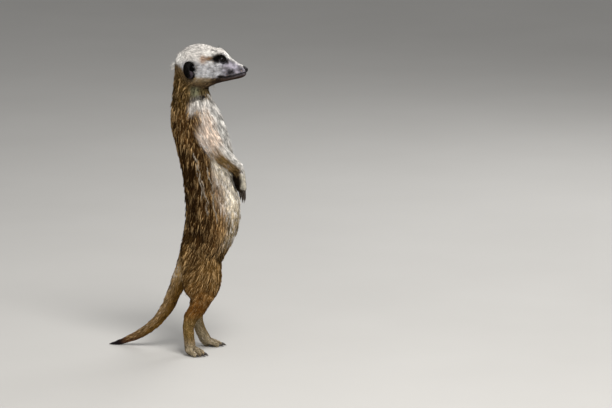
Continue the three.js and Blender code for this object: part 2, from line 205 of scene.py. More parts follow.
# part of the body: (depth of the coat, length of a tuft, its width, tufts to a square millimetre)
COAT = {
    "head": (1.2, 3.6, 0.36, 7.0),
    "lower_jaw": (0.8, 2.4, 0.32, 7.0),
    "neck": (2.4, 7.0, 0.40, 5.2),
    "chest": (3.2, 10.0, 0.42, 4.8),
    "belly": (3.2, 10.5, 0.42, 4.8),
    "hips": (3.0, 9.5, 0.42, 5.0),
    "tail_base": (1.8, 6.4, 0.40, 5.2),
    "tail_middle": (1.0, 4.4, 0.36, 6.0),
    "tail_tip": (0.7, 3.8, 0.34, 6.6),
    "upper_arm": (2.2, 7.5, 0.40, 5.2),
    "forearm": (1.3, 4.6, 0.36, 6.2),
    "hand": (0.25, 1.9, 0.28, 6.8),
    "thigh": (2.4, 8.5, 0.42, 5.0),
    "shank": (1.1, 4.2, 0.36, 6.0),
    "foot": (0.3, 1.9, 0.28, 6.8),
}
TRUNK_PARTS = ["neck", "chest", "belly", "hips"]
HEAD_PARTS = ["head", "lower_jaw"]
TAIL_PARTS = ["tail_base", "tail_middle", "tail_tip"]
ARM_PARTS = ["upper_arm", "forearm", "hand"]
LEG_PARTS = ["thigh", "shank", "foot"]
FLESH = TRUNK_PARTS + HEAD_PARTS + TAIL_PARTS
FLESH += [f"{side}_{part}" for side in SIDES for part in ARM_PARTS + LEG_PARTS]
# How far the solids are swollen so that they join, and the size of the skin's quads.
CLOSE_GAP = 0.4
SKIN_VOXEL = 0.66


def kind(node):
    """The node's name without its side."""
    return node.split("_", 1)[1] if node.split("_", 1)[0] in SIDES else node


def welded(node):
    piece = bmesh.new()
    piece.from_mesh(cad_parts[node].data)
    bmesh.ops.remove_doubles(piece, verts=piece.verts, dist=1e-6)
    piece.normal_update()
    return piece


def remeshed(meshes, voxel):
    """One closed mesh of even quads round all the given bmeshes, as points in the body's axes and faces."""
    joined = bmesh.new()
    for piece in meshes:
        part = bpy.data.meshes.new("part")
        piece.to_mesh(part)
        joined.from_mesh(part)
        bpy.data.meshes.remove(part)
        piece.free()
    mesh = bpy.data.meshes.new("joined")
    joined.to_mesh(mesh)
    joined.free()
    thing = bpy.data.objects.new("joined", mesh)
    bpy.context.scene.collection.objects.link(thing)
    wrap = thing.modifiers.new("wrap", "REMESH")
    wrap.mode = "VOXEL"
    wrap.voxel_size = voxel * MM
    made = bpy.data.meshes.new_from_object(thing.evaluated_get(bpy.context.evaluated_depsgraph_get()))
    points = np.empty(len(made.vertices) * 3)
    made.vertices.foreach_get("co", points)
    faces = np.empty(len(made.loops), int)
    made.loops.foreach_get("vertex_index", faces)
    bpy.data.objects.remove(thing)
    bpy.data.meshes.remove(mesh)
    bpy.data.meshes.remove(made)
    return to_body(points.reshape(-1, 3)), faces.reshape(-1, 4)


class Surface:
    """A closed mesh of quads with the sums over neighbours that smoothing needs."""

    def __init__(self, points, quads):
        self.points = points
        self.quads = quads
        edges = np.concatenate([quads[:, [i, (i + 1) % 4]] for i in range(4)])
        edges = np.unique(np.sort(edges, axis=1), axis=0)
        self.ends = np.concatenate([edges, edges[:, ::-1]])
        self.degree = np.maximum(np.bincount(self.ends[:, 0], minlength=len(points)), 1)
        self.triangles = np.concatenate([quads[:, [0, 1, 2]], quads[:, [0, 2, 3]]])

    def around(self, values):
        """The mean of the neighbours' values at each point."""
        columns = values.reshape(len(values), -1).T
        here, there = self.ends.T
        sums = [np.bincount(here, column[there], len(self.degree)) / self.degree for column in columns]
        return np.stack(sums, 1).reshape(values.shape)

    def smooth(self, values, times, share=0.6):
        for _ in range(times):
            values = mixed(values, self.around(values), share)
        return values

    def normals(self):
        a, b, c, d = (self.points[self.quads[:, i]] for i in range(4))
        face = np.cross(c - a, d - b)
        total = np.zeros_like(self.points)
        for corner in range(4):
            for axis in range(3):
                total[:, axis] += np.bincount(self.quads[:, corner], face[:, axis], len(self.points))
        return unit(total)

    def ready(self):
        """Makes the surface ready for tufts to be laid over it."""
        self.normal = self.normals()
        self.tree = BVHTree.FromPolygons(self.points.tolist(), self.triangles.tolist())


def nearest_nodes(points, nodes):
    """The index of the CAD node that each point is nearest to."""
    corners, faces, owner = [], [], []
    for index, node in enumerate(nodes):
        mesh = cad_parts[node].data
        start = len(corners)
        corners += [vertex.co.copy() for vertex in mesh.vertices]
        faces += [[start + i for i in face.vertices] for face in mesh.polygons]
        owner += [index] * len(mesh.polygons)
    tree = BVHTree.FromPolygons(corners, faces)
    return np.array([owner[tree.find_nearest(place)[2]] for place in to_scene(points).tolist()])


def flesh_surface():
    pieces = []
    for node in FLESH:
        piece = welded(node)
        for vertex in piece.verts:
            vertex.co += vertex.normal * CLOSE_GAP * MM
        pieces.append(piece)
    surface = Surface(*remeshed(pieces, SKIN_VOXEL))
    surface.points = surface.smooth(surface.points, 3)
    return surface


skin = flesh_surface()
skin.owner = nearest_nodes(skin.points, FLESH)
skin.kind = np.array([kind(FLESH[i]) for i in skin.owner])
skin.outer = skin.points.copy()


def coat_measure(column):
    """One column of COAT over the skin, with soft changes from part to part."""
    values = np.array([COAT[name][column] for name in skin.kind], float)
    return skin.smooth(values, 40)


# The coat is shortest on the muzzle and round the eyes, and longer again on the crown and cheeks.
on_head = np.isin(skin.kind, HEAD_PARTS)
on_tail = np.isin(skin.kind, TAIL_PARTS)
muzzle_share = ramp(skin.outer[:, 0], 8, 34) * on_head
eye_gap = np.linalg.norm(mirrored(skin.outer) - EYE_PLACE, axis=1)
lid_share = 1 - ramp(eye_gap, 7, 12)
bare_share = np.maximum(muzzle_share, lid_share)
skin.depth = coat_measure(0) * (1 - 0.62 * bare_share)
skin.length = coat_measure(1) * (1 - 0.55 * bare_share)
skin.width = coat_measure(2) * (1 - 0.25 * bare_share)
skin.density = coat_measure(3) * (1 + 0.5 * bare_share)

# The hollow of each ear is bare and black: wide above and narrow below.
EAR_HOLLOW = [((-8.4, 21.5, 290.6), (6.0, 8.0, 7.6)), ((-7.2, 21.5, 283.4), (4.0, 8.0, 5.4))]
BARE_ROUND_EAR = 1.2
ear_share = np.zeros(len(skin.outer))
bare_ear = np.zeros(len(skin.outer))
for centre, halves in EAR_HOLLOW:
    ear_share = np.maximum(ear_share, spot(mirrored(skin.outer), centre, halves, 0.2))
    wider = np.array(halves) + BARE_ROUND_EAR
    bare_ear = np.maximum(bare_ear, spot(mirrored(skin.outer), centre, wider, 0.2))
skin.density *= 1 - bare_ear

# The skin lies below the outer surface by the coat's depth.
skin.points = skin.points - skin.smooth(skin.normals(), 3) * skin.depth[:, None]
skin.points = skin.smooth(skin.points, 2, 0.4)


# ---------------------------------------------------------------- the face's folds in the skin

# The line between the lips as X and Z, from the front to the corner of the mouth.
MOUTH_LINE = [(46.5, 284), (42, 283.2), (34, 281), (26, 280), (19.5, 281.6)]
LIP_RISE = 0.35
MOUTH_DEPTH = 0.9
LID_RISE = 0.7
EAR_DEPTH = 2.0
# Forms of the face on both sides: how far each one rises, its middle and its half sizes.
FACE_FORMS = {
    "brow": (1.3, (19.5, 10.5, 304.6), (8, 4.5, 2.6)),
    "whisker pad": (0.5, (29.5, 6.5, 287), (6, 4, 4.5)),
    "hollow over the whiskers": (-0.5, (32, 6.5, 294.5), (5, 3.5, 2)),
}


def mouth_gap(points):
    """The distance of each point from the line between the lips, seen from the side."""
    line = [(x, 0, z) for x, z in MOUTH_LINE]
    return line_walk(line, points * [1, 0, 1])[0]


def sculpt_face():
    place = mirrored(skin.points)
    gap = mouth_gap(skin.outer)
    beside_mouth = (np.abs(skin.outer[:, 1]) > 1.2) * (skin.outer[:, 0] > 17)
    groove = (1 - ramp(gap, 0.3, 1.3)) * beside_mouth
    lips = ramp(gap, 0.8, 1.6) * (1 - ramp(gap, 1.8, 3.4)) * beside_mouth
    rise = LIP_RISE * lips - MOUTH_DEPTH * groove - EAR_DEPTH * ear_share
    rise += LID_RISE * ramp(eye_gap, 4.9, 6.2) * (1 - ramp(eye_gap, 6.8, 10))
    for height, middle, halves in FACE_FORMS.values():
        rise += height * spot(place, middle, halves)
    skin.points += skin.normals() * rise[:, None]


# The palms are deepest below the wrist and thin out towards the fingertips: the depth added, and its heights.
PALM_DEPTH = 3.4
PALM_HEIGHTS = (150, 168, 184)


def sculpt_palms():
    z = skin.outer[:, 2]
    low, middle, high = PALM_HEIGHTS
    share = ramp(z, low, middle) * (1 - ramp(z, middle, high + 4)) * (skin.kind == "hand")
    backward = np.clip(-skin.normals()[:, 0], 0, 1)
    skin.points[:, 0] -= skin.smooth(share * backward, 4) * PALM_DEPTH


def neck_fold(points):
    """The share of the fold between the neck and the shoulder at each point."""
    q = mirrored(points)
    level = 261.4 + 0.06 * (q[:, 0] + 2)
    across = ramp(q[:, 0], -15, -9) * (1 - ramp(q[:, 0], 6, 11)) * ramp(q[:, 1], 6, 10)
    return (1 - ramp(np.abs(q[:, 2] - level), 0.8, 2.4)) * across


# The wrist and the hollow behind the knee: their middles and half sizes.
WRIST = ((39.5, 12.6, 184.5), (8, 9, 6))
KNEE_HOLLOW = ((-9.5, 22, 64), (6, 9, 7))
EVEN_PASSES = 14
# The grooves between the toes: their length and depth. And the depth of the fold below the neck.
TOE_GROOVE = 9.0
TOE_DEPTH = 1.5
FOLD_DEPTH = 0.9


def toe_gaps(points):
    """The share of the grooves between the toes at each point, from the middle of two claws' roots back."""
    share = np.zeros(len(points))
    for side, sign in SIDES.items():
        turn = FOOT_TURN[side]
        forward = np.array([math.cos(turn), math.sin(turn) * sign, 0])
        roots = []
        for number in range(1, 5):
            low, high = (to_body(corner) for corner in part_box(f"{side}_foot_claw_{number}"))
            roots.append((low + high) / 2 - forward * 2.0)
        for first, second in zip(roots[:-1], roots[1:]):
            front = (first + second) / 2 + forward
            line = np.array([front, front - forward * TOE_GROOVE]) * [1, 1, 0]
            gap, along, _ = line_walk(line, points * [1, 1, 0])
            groove = (1 - ramp(gap, 0.3, 1.25)) * (1 - ramp(along, TOE_GROOVE * 0.5, TOE_GROOVE))
            share = np.maximum(share, groove * (1 - ramp(points[:, 2], 9, 13)))
    return share


toe_share = toe_gaps(skin.outer) * (skin.kind == "foot")
fold_share = neck_fold(skin.outer) * np.isin(skin.kind, ["neck", "chest"])
hollow_share = spot(mirrored(skin.outer), *KNEE_HOLLOW)
# The hair behind the knee is short and thin, so that it doesn't cross the hollow.
skin.density *= 1 - 0.5 * hollow_share
skin.length *= 1 - 0.45 * hollow_share


def sculpt_body():
    rise = -TOE_DEPTH * toe_share - FOLD_DEPTH * fold_share
    skin.points += skin.normals() * rise[:, None]
    # The skin runs evenly over the wrist and through the hollow behind the knee.
    even = np.clip(spot(mirrored(skin.outer), *WRIST) + hollow_share, 0, 1)
    for _ in range(EVEN_PASSES):
        skin.points = mixed(skin.points, skin.around(skin.points), 0.6 * even)


sculpt_face()
sculpt_palms()
sculpt_body()
skin.ready()

# ---------------------------------------------------------------- the lie of the coat


def flow_of_coat():
    """The direction in which the hairs lie at each point of the skin."""
    p = skin.points
    x_of_line, _, z_of_line = np.array(TRUNK_LINE[::-1]).T
    front = skin.outer[:, 0] - np.interp(p[:, 2], z_of_line, x_of_line)
    flow = np.tile([-0.12, 0.0, -1.0], (len(p), 1))
    flow[:, 0] += 0.30 * ramp(p[:, 2], 150, 175) * ramp(front, -8, 12) * (1 - ramp(p[:, 2], 225, 245))
    flow[:, 0] -= 0.25 * (1 - ramp(p[:, 2], 110, 140))
    down = ramp(-p[:, 0], 2, 20)
    cheek = ramp(-p[:, 2], -288, -276) * 0.35
    flow[on_head] = mixed(np.array([[-1.0, 0.0, -0.08]]), np.array([[-0.3, 0.0, -1.0]]), down)[on_head]
    flow[on_head, 2] -= cheek[on_head]
    flow[on_tail] = line_walk(TAIL_LINE, p[on_tail])[2]
    for side, sign in SIDES.items():
        mine = p[:, 1] * sign > 0
        arm = mine & np.isin(skin.kind, ARM_PARTS)
        flow[arm] = line_walk(sided(ARM_LINES[side], side), p[arm])[2]
        leg = mine & (skin.kind == "shank")
        flow[leg] = line_walk(sided(LEG_LINES[side], side), p[leg])[2]
        thigh = mine & (skin.kind == "thigh")
        slant = 0.25 + 0.7 * (1 - ramp(p[thigh, 0], -12, 16)) * (1 - ramp(p[thigh, 2], 96, 112))
        flow[thigh] = np.stack([-slant, 0 * slant, -np.ones(len(slant))], 1)
        foot = mine & (skin.kind == "foot")
        flow[foot] = [math.cos(FOOT_TURN[side]), -math.sin(FOOT_TURN[side]), -0.5]
    flow = skin.smooth(unit(flow), 22)
    flow -= skin.normal * (flow * skin.normal).sum(1, keepdims=True)
    return unit(flow)


skin.flow = flow_of_coat()

# ---------------------------------------------------------------- the coat's markings

CREAM = linear(212, 207, 201)
WHITE = linear(222, 219, 213)
GREY = linear(181, 181, 184)
LAVENDER = linear(164, 159, 169)
NEAR_BLACK = linear(9, 8, 7)
DARK_BROWN = linear(36, 21, 8)
BACK_BROWN = linear(79, 54, 25)
FLANK_BROWN = linear(80, 55, 27)
NAPE_BROWN = linear(86, 66, 34)
OLIVE_GREY = linear(134, 132, 104)
THROAT_TAN = linear(112, 94, 60)
PINK_CREAM = linear(202, 184, 168)
BELLY_CREAM = linear(252, 240, 218)
LOW_BELLY = linear(178, 158, 124)
CHEEK_TAN = linear(150, 130, 96)
EAR_GREY_AND_HIGHLIGHT = linear(60, 52, 58)
ORANGE_TAN = linear(114, 80, 42)
THIGH_TAN = linear(100, 74, 39)
SHANK_ORANGE = linear(120, 80, 36)
SHIN_TAN = linear(122, 98, 55)
PALE_FOOT = linear(150, 136, 110)
BEIGE = linear(170, 156, 126)
TAIL_TAN = linear(142, 114, 74)
TAIL_UNDER = linear(122, 90, 42)
TAIL_RED = linear(98, 68, 44)
TAIL_BLACK = linear(34, 29, 32)
REDDISH_TAN = linear(136, 108, 86)
EYE_BROWN = linear(88, 60, 38)
SHADED_UNDERJAW_TAN = linear(58, 37, 14)
LIP_GREY = linear(40, 38, 41)
FOREARM_BROWN = linear(128, 102, 62)
HAND_DARK = linear(26, 20, 13)
GOLD_TIP = linear(186, 153, 106)
RUMP_GOLD = linear(190, 158, 106)
HAND_PALE = linear(204, 197, 180)
LOCK_CREAM = linear(222, 206, 184)

# The dark bands across the back: the height of the first, the step down to the next, and their number.
BAND_TOP = 204.8
BAND_STEP = 16.4
BAND_COUNT = 7

# Slow waves for the edges of the markings, fine upright streaks, and blotches.
wander = Noise(11, (9, 9, 14))
streaks = Noise(12, (1.3, 1.3, 8))
blotches = Noise(13, (2.3, 2.3, 2.3))

# Soft marks on both sides, laid one over the other: colour, strength, middle, half sizes and softness.
TRUNK_MARKS = [
    # The cream patch on the shoulder: partly its pale hair, partly a painted highlight.
    (CREAM, 0.9, (2, 17, 250), (14.5, 14, 11.5), 0.4),
    (OLIVE_GREY, 1.0, (-1, 15, 267), (10, 13, 9), 0.6),
]
HEAD_MARKS = [
    (REDDISH_TAN, 0.9, (4.2, 21, 299.8), (4.2, 9, 5.6), 0.6),
    (WHITE * 1.15, 0.95, (11.8, 17, 305.2), (8, 8, 3.2), 0.5),
    # Painted light on the back of the head, as a brighter white.
    (WHITE * 1.4, 0.9, (-22, 0, 298), (8, 22, 9), 0.6),
    (EYE_BROWN, 0.95, (10.2, 18, 300.3), (3.8, 8, 2.7), 0.5),
    # Painted shadow in front of each ear, as a darker grey.
    (GREY * 0.42, 0.8, (-3.5, 22, 292), (3.4, 8, 6), 0.7),
    (NEAR_BLACK, 1.0, (18.9, 13, 299.2), (9.3, 9, 5.1), 0.35),
    (NEAR_BLACK, 1.0, (27.0, 11, 296.2), (3.4, 8, 3.4), 0.6),
    (LAVENDER * 0.8, 0.85, (24.2, 12, 293.4), (4.4, 7, 1.7), 0.5),
    (LIP_GREY, 0.95, (30.6, 8, 285.2), (5.8, 9, 4.4), 0.6),
    (LIP_GREY * 1.6, 0.7, (41.0, 5, 287.6), (4.4, 6, 3.0), 0.6),
]
MOUTH_CORNER = [(NEAR_BLACK, 0.95, (21.8, 12, 281.2), (4.4, 9, 2.2), 0.5)]
THIGH_SHADE = [(DARK_BROWN * 1.6, 0.6, (-7, 30, 101), (8, 14, 18), 0.7)]
# The pale hair on both sides of the tail's root.
RUMP = [(RUMP_GOLD, 0.85, (-21, 9, 81), (9, 13, 10), 0.6)]


def marked(colour, points, marks):
    """The colours with the marks laid over them."""
    for shade, strength, middle, halves, soft in marks:
        colour = mixed(colour, shade, strength * spot(mirrored(points), middle, halves, soft))
    return colour


def trunk_share(points):
    """How far from the back (0) to the front (1) each point of the trunk is."""
    z = skin.outer[:, 2]
    on_trunk = np.isin(skin.kind, TRUNK_PARTS)
    levels = np.arange(62, 294, 4.0)
    back, front = [], []
    for level in levels:
        near = skin.outer[on_trunk & (np.abs(z - level) < 3), 0]
        back.append(near.min() if len(near) else 0)
        front.append(near.max() if len(near) else 1)
    low = np.interp(points[:, 2], levels, back)
    high = np.interp(points[:, 2], levels, front)
    return np.clip((points[:, 0] - low) / (high - low), 0, 1)


def trunk_colour(p):
    """Brown on the back and cream in front, with orange between them, dark bands and an olive neck, with
    painted shade on the front of the chest and in the fold below the neck.
    """
    share = trunk_share(p) + 0.10 * (wander(p) - 0.5)
    z = p[:, 2]
    brown = mixed(BACK_BROWN, FLANK_BROWN, ramp(share, 0.05, 0.4))
    brown = brown * mixed(1, 1.2, ramp(z, 206, 222))[:, None]
    brown = mixed(brown, NAPE_BROWN, ramp(z, 236, 256))
    front = mixed(LOW_BELLY, BELLY_CREAM, ramp(z, 134, 160))
    # The white of the upper chest is dimmed by painted shade on the front of the chest.
    front = mixed(front, WHITE * 0.80, ramp(z, 190, 214))
    edge = 0.52 - 0.02 * ramp(z, 200, 240) + 0.08 * (1 - ramp(z, 130, 156))
    pale = ramp(share, edge, edge + 0.20) * (1 - ramp(z, 258, 264))
    colour = mixed(brown, front, pale)
    orange = ramp(share, 0.45, 0.62) * (1 - ramp(share, 0.72, 0.88)) * (1 - ramp(z, 168, 196))
    colour = mixed(colour, ORANGE_TAN, 0.75 * orange * ramp(z, 96, 120))
    low_belly = ramp(share, 0.6, 0.8) * (1 - ramp(z, 100, 122))
    colour = mixed(colour, THIGH_TAN, low_belly)
    colour = marked(colour, p, TRUNK_MARKS)
    throat = ramp(share, 0.62, 0.8) * ramp(z, 256, 262)
    colour = mixed(colour, THROAT_TAN, 0.9 * throat)
    below = BAND_TOP - z
    bend, streak = wander(p) - 0.5, streaks(p) - 0.5
    number = np.clip(np.round((below + 6 * bend) / BAND_STEP), 0, BAND_COUNT - 1)
    away = np.abs(below + 9 * bend - number * BAND_STEP) + 4 * streak
    band = (1 - ramp(away, 1.8, 6.2)) * (1 - ramp(share + 0.3 * streak, 0.25, 0.62))
    colour = mixed(colour, DARK_BROWN * 0.7, 0.88 * band)
    # The fold below the neck is darkened with painted shade.
    return mixed(colour, DARK_BROWN, fold_share)


# Where the pale side of the face gives way to the dark underside: X, and the height there.
CHEEK_EDGE = [(-22, 294), (-14, 288), (-8, 284.5), (0, 282), (19, 280.6), (26, 279.6), (34, 280.4), (47, 283)]


def head_colour(p):
    """Grey and white above, dark round the eyes, on the lips and in the ears, and brown below the cheeks,
    with painted light on the back of the head, a painted highlight along the top of the muzzle, painted
    shadow in front of each ear and painted shade under the jaw.
    """
    x, z = p[:, 0], p[:, 2]
    colour = mixed(GREY, CREAM * 0.85, ramp(z, 292, 301))
    colour = mixed(colour, LAVENDER, ramp(x, 19, 27) * (1 - ramp(z, 302, 306)))
    # A painted highlight along the top of the muzzle, as white.
    ridge = ramp(x, 22, 28) * ramp(z - (303.5 - 0.62 * (x - 24)), -3.4, -0.6)
    colour = mixed(colour, WHITE * 1.35, 0.9 * ridge)
    colour = mixed(colour, NAPE_BROWN, ramp(-x, 16, 21) * (1 - ramp(z, 283, 290)))
    colour = marked(colour, p, HEAD_MARKS)
    edge = np.interp(x, *zip(*CHEEK_EDGE))
    under = 1 - ramp(z - edge, -1.4, 1.0)
    # Under the jaw the tan is darkened with painted shade.
    below = mixed(NAPE_BROWN * 0.9, SHADED_UNDERJAW_TAN, ramp(x, 2, 14))
    tan = ramp(x, -10, -4) * (1 - ramp(x, 10, 16)) * ramp(z, 275.5, 278.5)
    below = mixed(below, CHEEK_TAN, 0.8 * tan)
    colour = mixed(colour, below, 0.95 * under)
    colour = marked(colour, p, MOUTH_CORNER)
    lips = (1 - ramp(mouth_gap(p), 0.5, 1.5)) * (x > 20)
    colour = mixed(colour, NEAR_BLACK, 0.9 * lips)
    return mixed(colour, NEAR_BLACK, ear_share)


# Where the dark palm, partly painted shade, gives way to the pale back of the hand: heights, and X there.
HAND_EDGE = ([160, 172, 181, 187], [44.6, 42.7, 41.0, 39.0])
# The forearm is paler on its side that faces up and to the front, partly its own pale hair and partly painted
# light from above; the pale side of the tail faces up and to the back.
ARM_TOP = unit([0.75, 0.0, 0.66])
TAIL_TOP = np.array([-0.75, 0.0, 0.66])


def arm_colour(p, normal, side):
    """Brown behind and cream in front on the upper arm, white on top of the forearm, partly painted light,
    and a dark palm, partly painted shade.
    """
    _, along, _ = line_walk(sided(ARM_LINES[side], side), p)
    upward = normal @ ARM_TOP
    upper = mixed(FLANK_BROWN * 1.15, PINK_CREAM, ramp(p[:, 0] + 12 * (wander(p) - 0.5), -9, 5))
    upper = upper * mixed(0.8, 1.25, ramp(along, 14, 44))[:, None]
    # The side of the forearm that faces up and to the front is whitened: partly pale hair, partly painted
    # light.
    lower = mixed(FOREARM_BROWN, WHITE, ramp(upward, 0.0, 0.7))
    colour = mixed(upper, lower, ramp(along, 44, 60))
    back_of_hand = p[:, 0] - np.interp(p[:, 2], *HAND_EDGE)
    # The palm side is dark: partly its own dark skin and fur, partly painted shade.
    hand = mixed(HAND_DARK, HAND_PALE, ramp(back_of_hand, -0.7, 0.7))
    hand = mixed(hand, HAND_DARK * 2.2, 0.7 * (1 - ramp(p[:, 2], 165, 174)))
    return mixed(colour, hand, ramp(-p[:, 2], -187, -180))


def leg_colour(p, toes, side):
    """Tan with a darker shade on the thigh, orange on the shank, and a pale foot with painted shade in the
    grooves between the toes.
    """
    z = p[:, 2]
    inner = ramp(-p[:, 1] * SIDES[side], -20, -13)
    colour = mixed(SHIN_TAN, SHANK_ORANGE, ramp(z, 32, 46))
    colour = mixed(colour, THIGH_TAN, ramp(z + 10 * (wander(p) - 0.5), 44, 80))
    colour = marked(colour, p, THIGH_SHADE)
    colour = mixed(colour, BEIGE, 0.8 * inner * (1 - ramp(z, 80, 100)))
    colour = marked(colour, p, RUMP)
    colour = mixed(PALE_FOOT, colour, ramp(z, 6, 22))
    # Painted shade in the grooves between the toes.
    return mixed(colour, DARK_BROWN, 0.85 * toes)


def tail_colour(p, normal):
    """Tan, more golden below, then reddish, and black at the tip."""
    _, along, _ = line_walk(TAIL_LINE, p)
    colour = mixed(TAIL_UNDER, TAIL_TAN, ramp(normal @ TAIL_TOP, -0.3, 0.45))
    colour = mixed(mixed(TAIL_UNDER, TAIL_TAN, 0.7), colour, ramp(along, 4, 22))
    colour = marked(colour, p, RUMP)
    colour = mixed(colour, TAIL_RED, ramp(along, 112, 128))
    return mixed(colour, TAIL_BLACK, ramp(along, 134, 146))


def on_side(side):
    """The points of the skin that belong to one side's nodes."""
    return np.isin(skin.owner, [i for i, node in enumerate(FLESH) if node.startswith(side)])


def paint():
    """The markings as one colour for each point of the skin."""
    colour = trunk_colour(skin.outer)
    colour[on_head] = head_colour(skin.outer)[on_head]
    colour[on_tail] = tail_colour(skin.outer[on_tail], skin.normal[on_tail])
    for side in SIDES:
        arm = on_side(side) & np.isin(skin.kind, ARM_PARTS)
        colour[arm] = arm_colour(skin.outer[arm], skin.normal[arm], side)
        leg = on_side(side) & np.isin(skin.kind, LEG_PARTS)
        colour[leg] = leg_colour(skin.outer[leg], toe_share[leg], side)
    colour = skin.smooth(colour, 5)
    face = spot(skin.outer, (22, 0, 290), (30, 30, 26), 0.3)
    light = 0.62 + 0.76 * streaks(skin.outer)
    light = mixed(light, 0.48 + 1.0 * ramp(blotches(skin.outer), 0.2, 0.8), 0.85 * face)
    return colour * light[:, None]


skin.colour = paint()
# The share of pale tips that each place keeps: none on the side of the neck, the muzzle, and the tip and
# underside of the tail, and few on the jaw, hands and shanks.
skin.tipped = 1 - spot(mirrored(skin.outer), (-1, 15, 268), (11, 13, 8), 0.5)
skin.tipped *= (1 - 0.9 * bare_share) * (skin.kind != "tail_tip") * (1 - 0.6 * (skin.kind == "shank"))
skin.tipped *= np.where(np.isin(skin.kind, ["lower_jaw", "hand"]), 0.2, 1)
skin.tipped *= 1 - on_tail * (1 - ramp(skin.normal @ TAIL_TOP, -0.4, 0.3))

# ---------------------------------------------------------------- meshes and materials


def make_mesh(name, points, faces, colours=None, smooth=True):
    """A mesh object from arrays. points are in the body's axes, and faces all have as many corners."""
    faces = np.asarray(faces)
    corners = faces.shape[1]
    mesh = bpy.data.meshes.new(name)
    mesh.vertices.add(len(points))
    mesh.vertices.foreach_set("co", to_scene(points).ravel())
    mesh.loops.add(faces.size)
    mesh.loops.foreach_set("vertex_index", faces.ravel())
    mesh.polygons.add(len(faces))
    mesh.polygons.foreach_set("loop_start", np.arange(0, faces.size, corners))
    mesh.polygons.foreach_set("use_smooth", np.full(len(faces), smooth))
    if colours is not None:
        layer = mesh.color_attributes.new("marking", "FLOAT_COLOR", "POINT")
        layer.data.foreach_set("color", np.column_stack([colours, np.ones(len(colours))]).ravel())
    mesh.update()
    mesh.validate()
    thing = bpy.data.objects.new(name, mesh)
    bpy.context.scene.collection.objects.link(thing)
    return thing


def new_material(name, **sockets):
    material = bpy.data.materials.new(name)
    material.use_nodes = True
    shader = material.node_tree.nodes["Principled BSDF"]
    for socket, value in sockets.items():
        shader.inputs[socket.replace("_", " ")].default_value = value
    return material, material.node_tree, shader


def add_node(tree, kind_of_node, inputs=(), **settings):
    """A new node, with its settings, and its inputs given as values or as other nodes' outputs."""
    node = tree.nodes.new(kind_of_node)
    for name, value in settings.items():
        setattr(node, name, value)
    for key, value in dict(inputs).items():
        if isinstance(value, bpy.types.NodeSocket):
            tree.links.new(value, node.inputs[key])
        else:
            node.inputs[key].default_value = value
    return node


def noise_node(tree, scale, detail=3.0):
    place = add_node(tree, "ShaderNodeTexCoord")
    inputs = {"Vector": place.outputs["Object"], "Scale": scale, "Detail": detail}
    return add_node(tree, "ShaderNodeTexNoise", inputs)


def bump(tree, shader, height, distance, strength=1.0):
    inputs = {"Height": height, "Distance": distance, "Strength": strength}
    tree.links.new(add_node(tree, "ShaderNodeBump", inputs).outputs["Normal"], shader.inputs["Normal"])


def two_tone(tree, shader, noise, first, second):
    """The shader's colour from two others, mixed by the noise."""
    mix = add_node(tree, "ShaderNodeMix", {"Factor": noise.outputs["Fac"]}, data_type="RGBA")
    mix.inputs["A"].default_value = (*first, 1)
    mix.inputs["B"].default_value = (*second, 1)
    tree.links.new(mix.outputs["Result"], shader.inputs["Base Color"])


def dress(thing, material, slot, *nodes):
    """The mesh in its material, in place of the nodes it stands for, if any."""
    thing.data.materials.append(material)
    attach(thing, "root")
    if nodes:
        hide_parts(*nodes)


def marked_material(name, roughness, scale, spread, grain, **sockets):
    """The markings of a mesh, made a little uneven, with a fine grain as bump where grain isn't 0."""
    material, tree, shader = new_material(name, Roughness=roughness, **sockets)
    marking = add_node(tree, "ShaderNodeAttribute", attribute_name="marking")
    noise = noise_node(tree, scale)
    uneven = {"Value": noise.outputs["Fac"], "To Min": 1 - spread, "To Max": 1 + spread}
    light = add_node(tree, "ShaderNodeMapRange", uneven)
    both = {0: marking.outputs["Color"], 1: light.outputs["Result"]}
    colour = add_node(tree, "ShaderNodeVectorMath", both, operation="MULTIPLY")
    tree.links.new(colour.outputs["Vector"], shader.inputs["Base Color"])
    if grain:
        bump(tree, shader, noise.outputs["Fac"], grain * MM)
    return material


skin_material = marked_material("skin", 0.75, 900.0, 0.18, 0.35, Specular_IOR_Level=0.03)
coat_material = marked_material("coat", 0.62, 260.0, 0.12, 0, Specular_IOR_Level=0.02)

# ---------------------------------------------------------------- round shapes and directions


def ring_quads(rows, rings, around):
    """Rows of quads between rings of points, each ring with as many points around."""
    row, step = np.meshgrid(np.arange(rows), np.arange(around), indexing="ij")
    here, beyond, after = row * around, (row + 1) % rings * around, (step + 1) % around
    return np.stack([here + step, beyond + step, beyond + after, here + after], -1).reshape(-1, 4)


def sphere_grid(around, rows):
    """Unit directions over a sphere with their quads, from pole to pole along Z."""
    turn = np.linspace(0, 2 * math.pi, around, endpoint=False)
    rise = np.linspace(0, math.pi, rows + 1)
    directions = np.stack(
        [
            np.outer(np.sin(rise), np.cos(turn)),
            np.outer(np.sin(rise), np.sin(turn)),
            np.outer(np.cos(rise), np.ones(around)),
        ],
        -1,
    ).reshape(-1, 3)
    return directions, ring_quads(rows, rows + 1, around)


def axes_to(direction):
    """Three axes, of which the last points along the direction and the second as far up as it can."""
    out = unit(direction)
    side = unit(np.cross([0.0, 0.0, 1.0], out))
    return np.stack([side, np.cross(out, side), out])


def gaze(side):
    return unit([0.34, 0.93 * SIDES[side], 0.12])


# ---------------------------------------------------------------- the skin

# The skin under the coat is darkened with painted shade, so that the gaps between the tufts are not bright.
SKIN_SHADE_UNDER_COAT = 0.6
LID_STEPS = 96
# The slit between the lids: half its length and its reach up and down, as angles at the middle of the eye.
SLIT = (35, 24, 21)
SLIT_TILT = math.radians(-14)
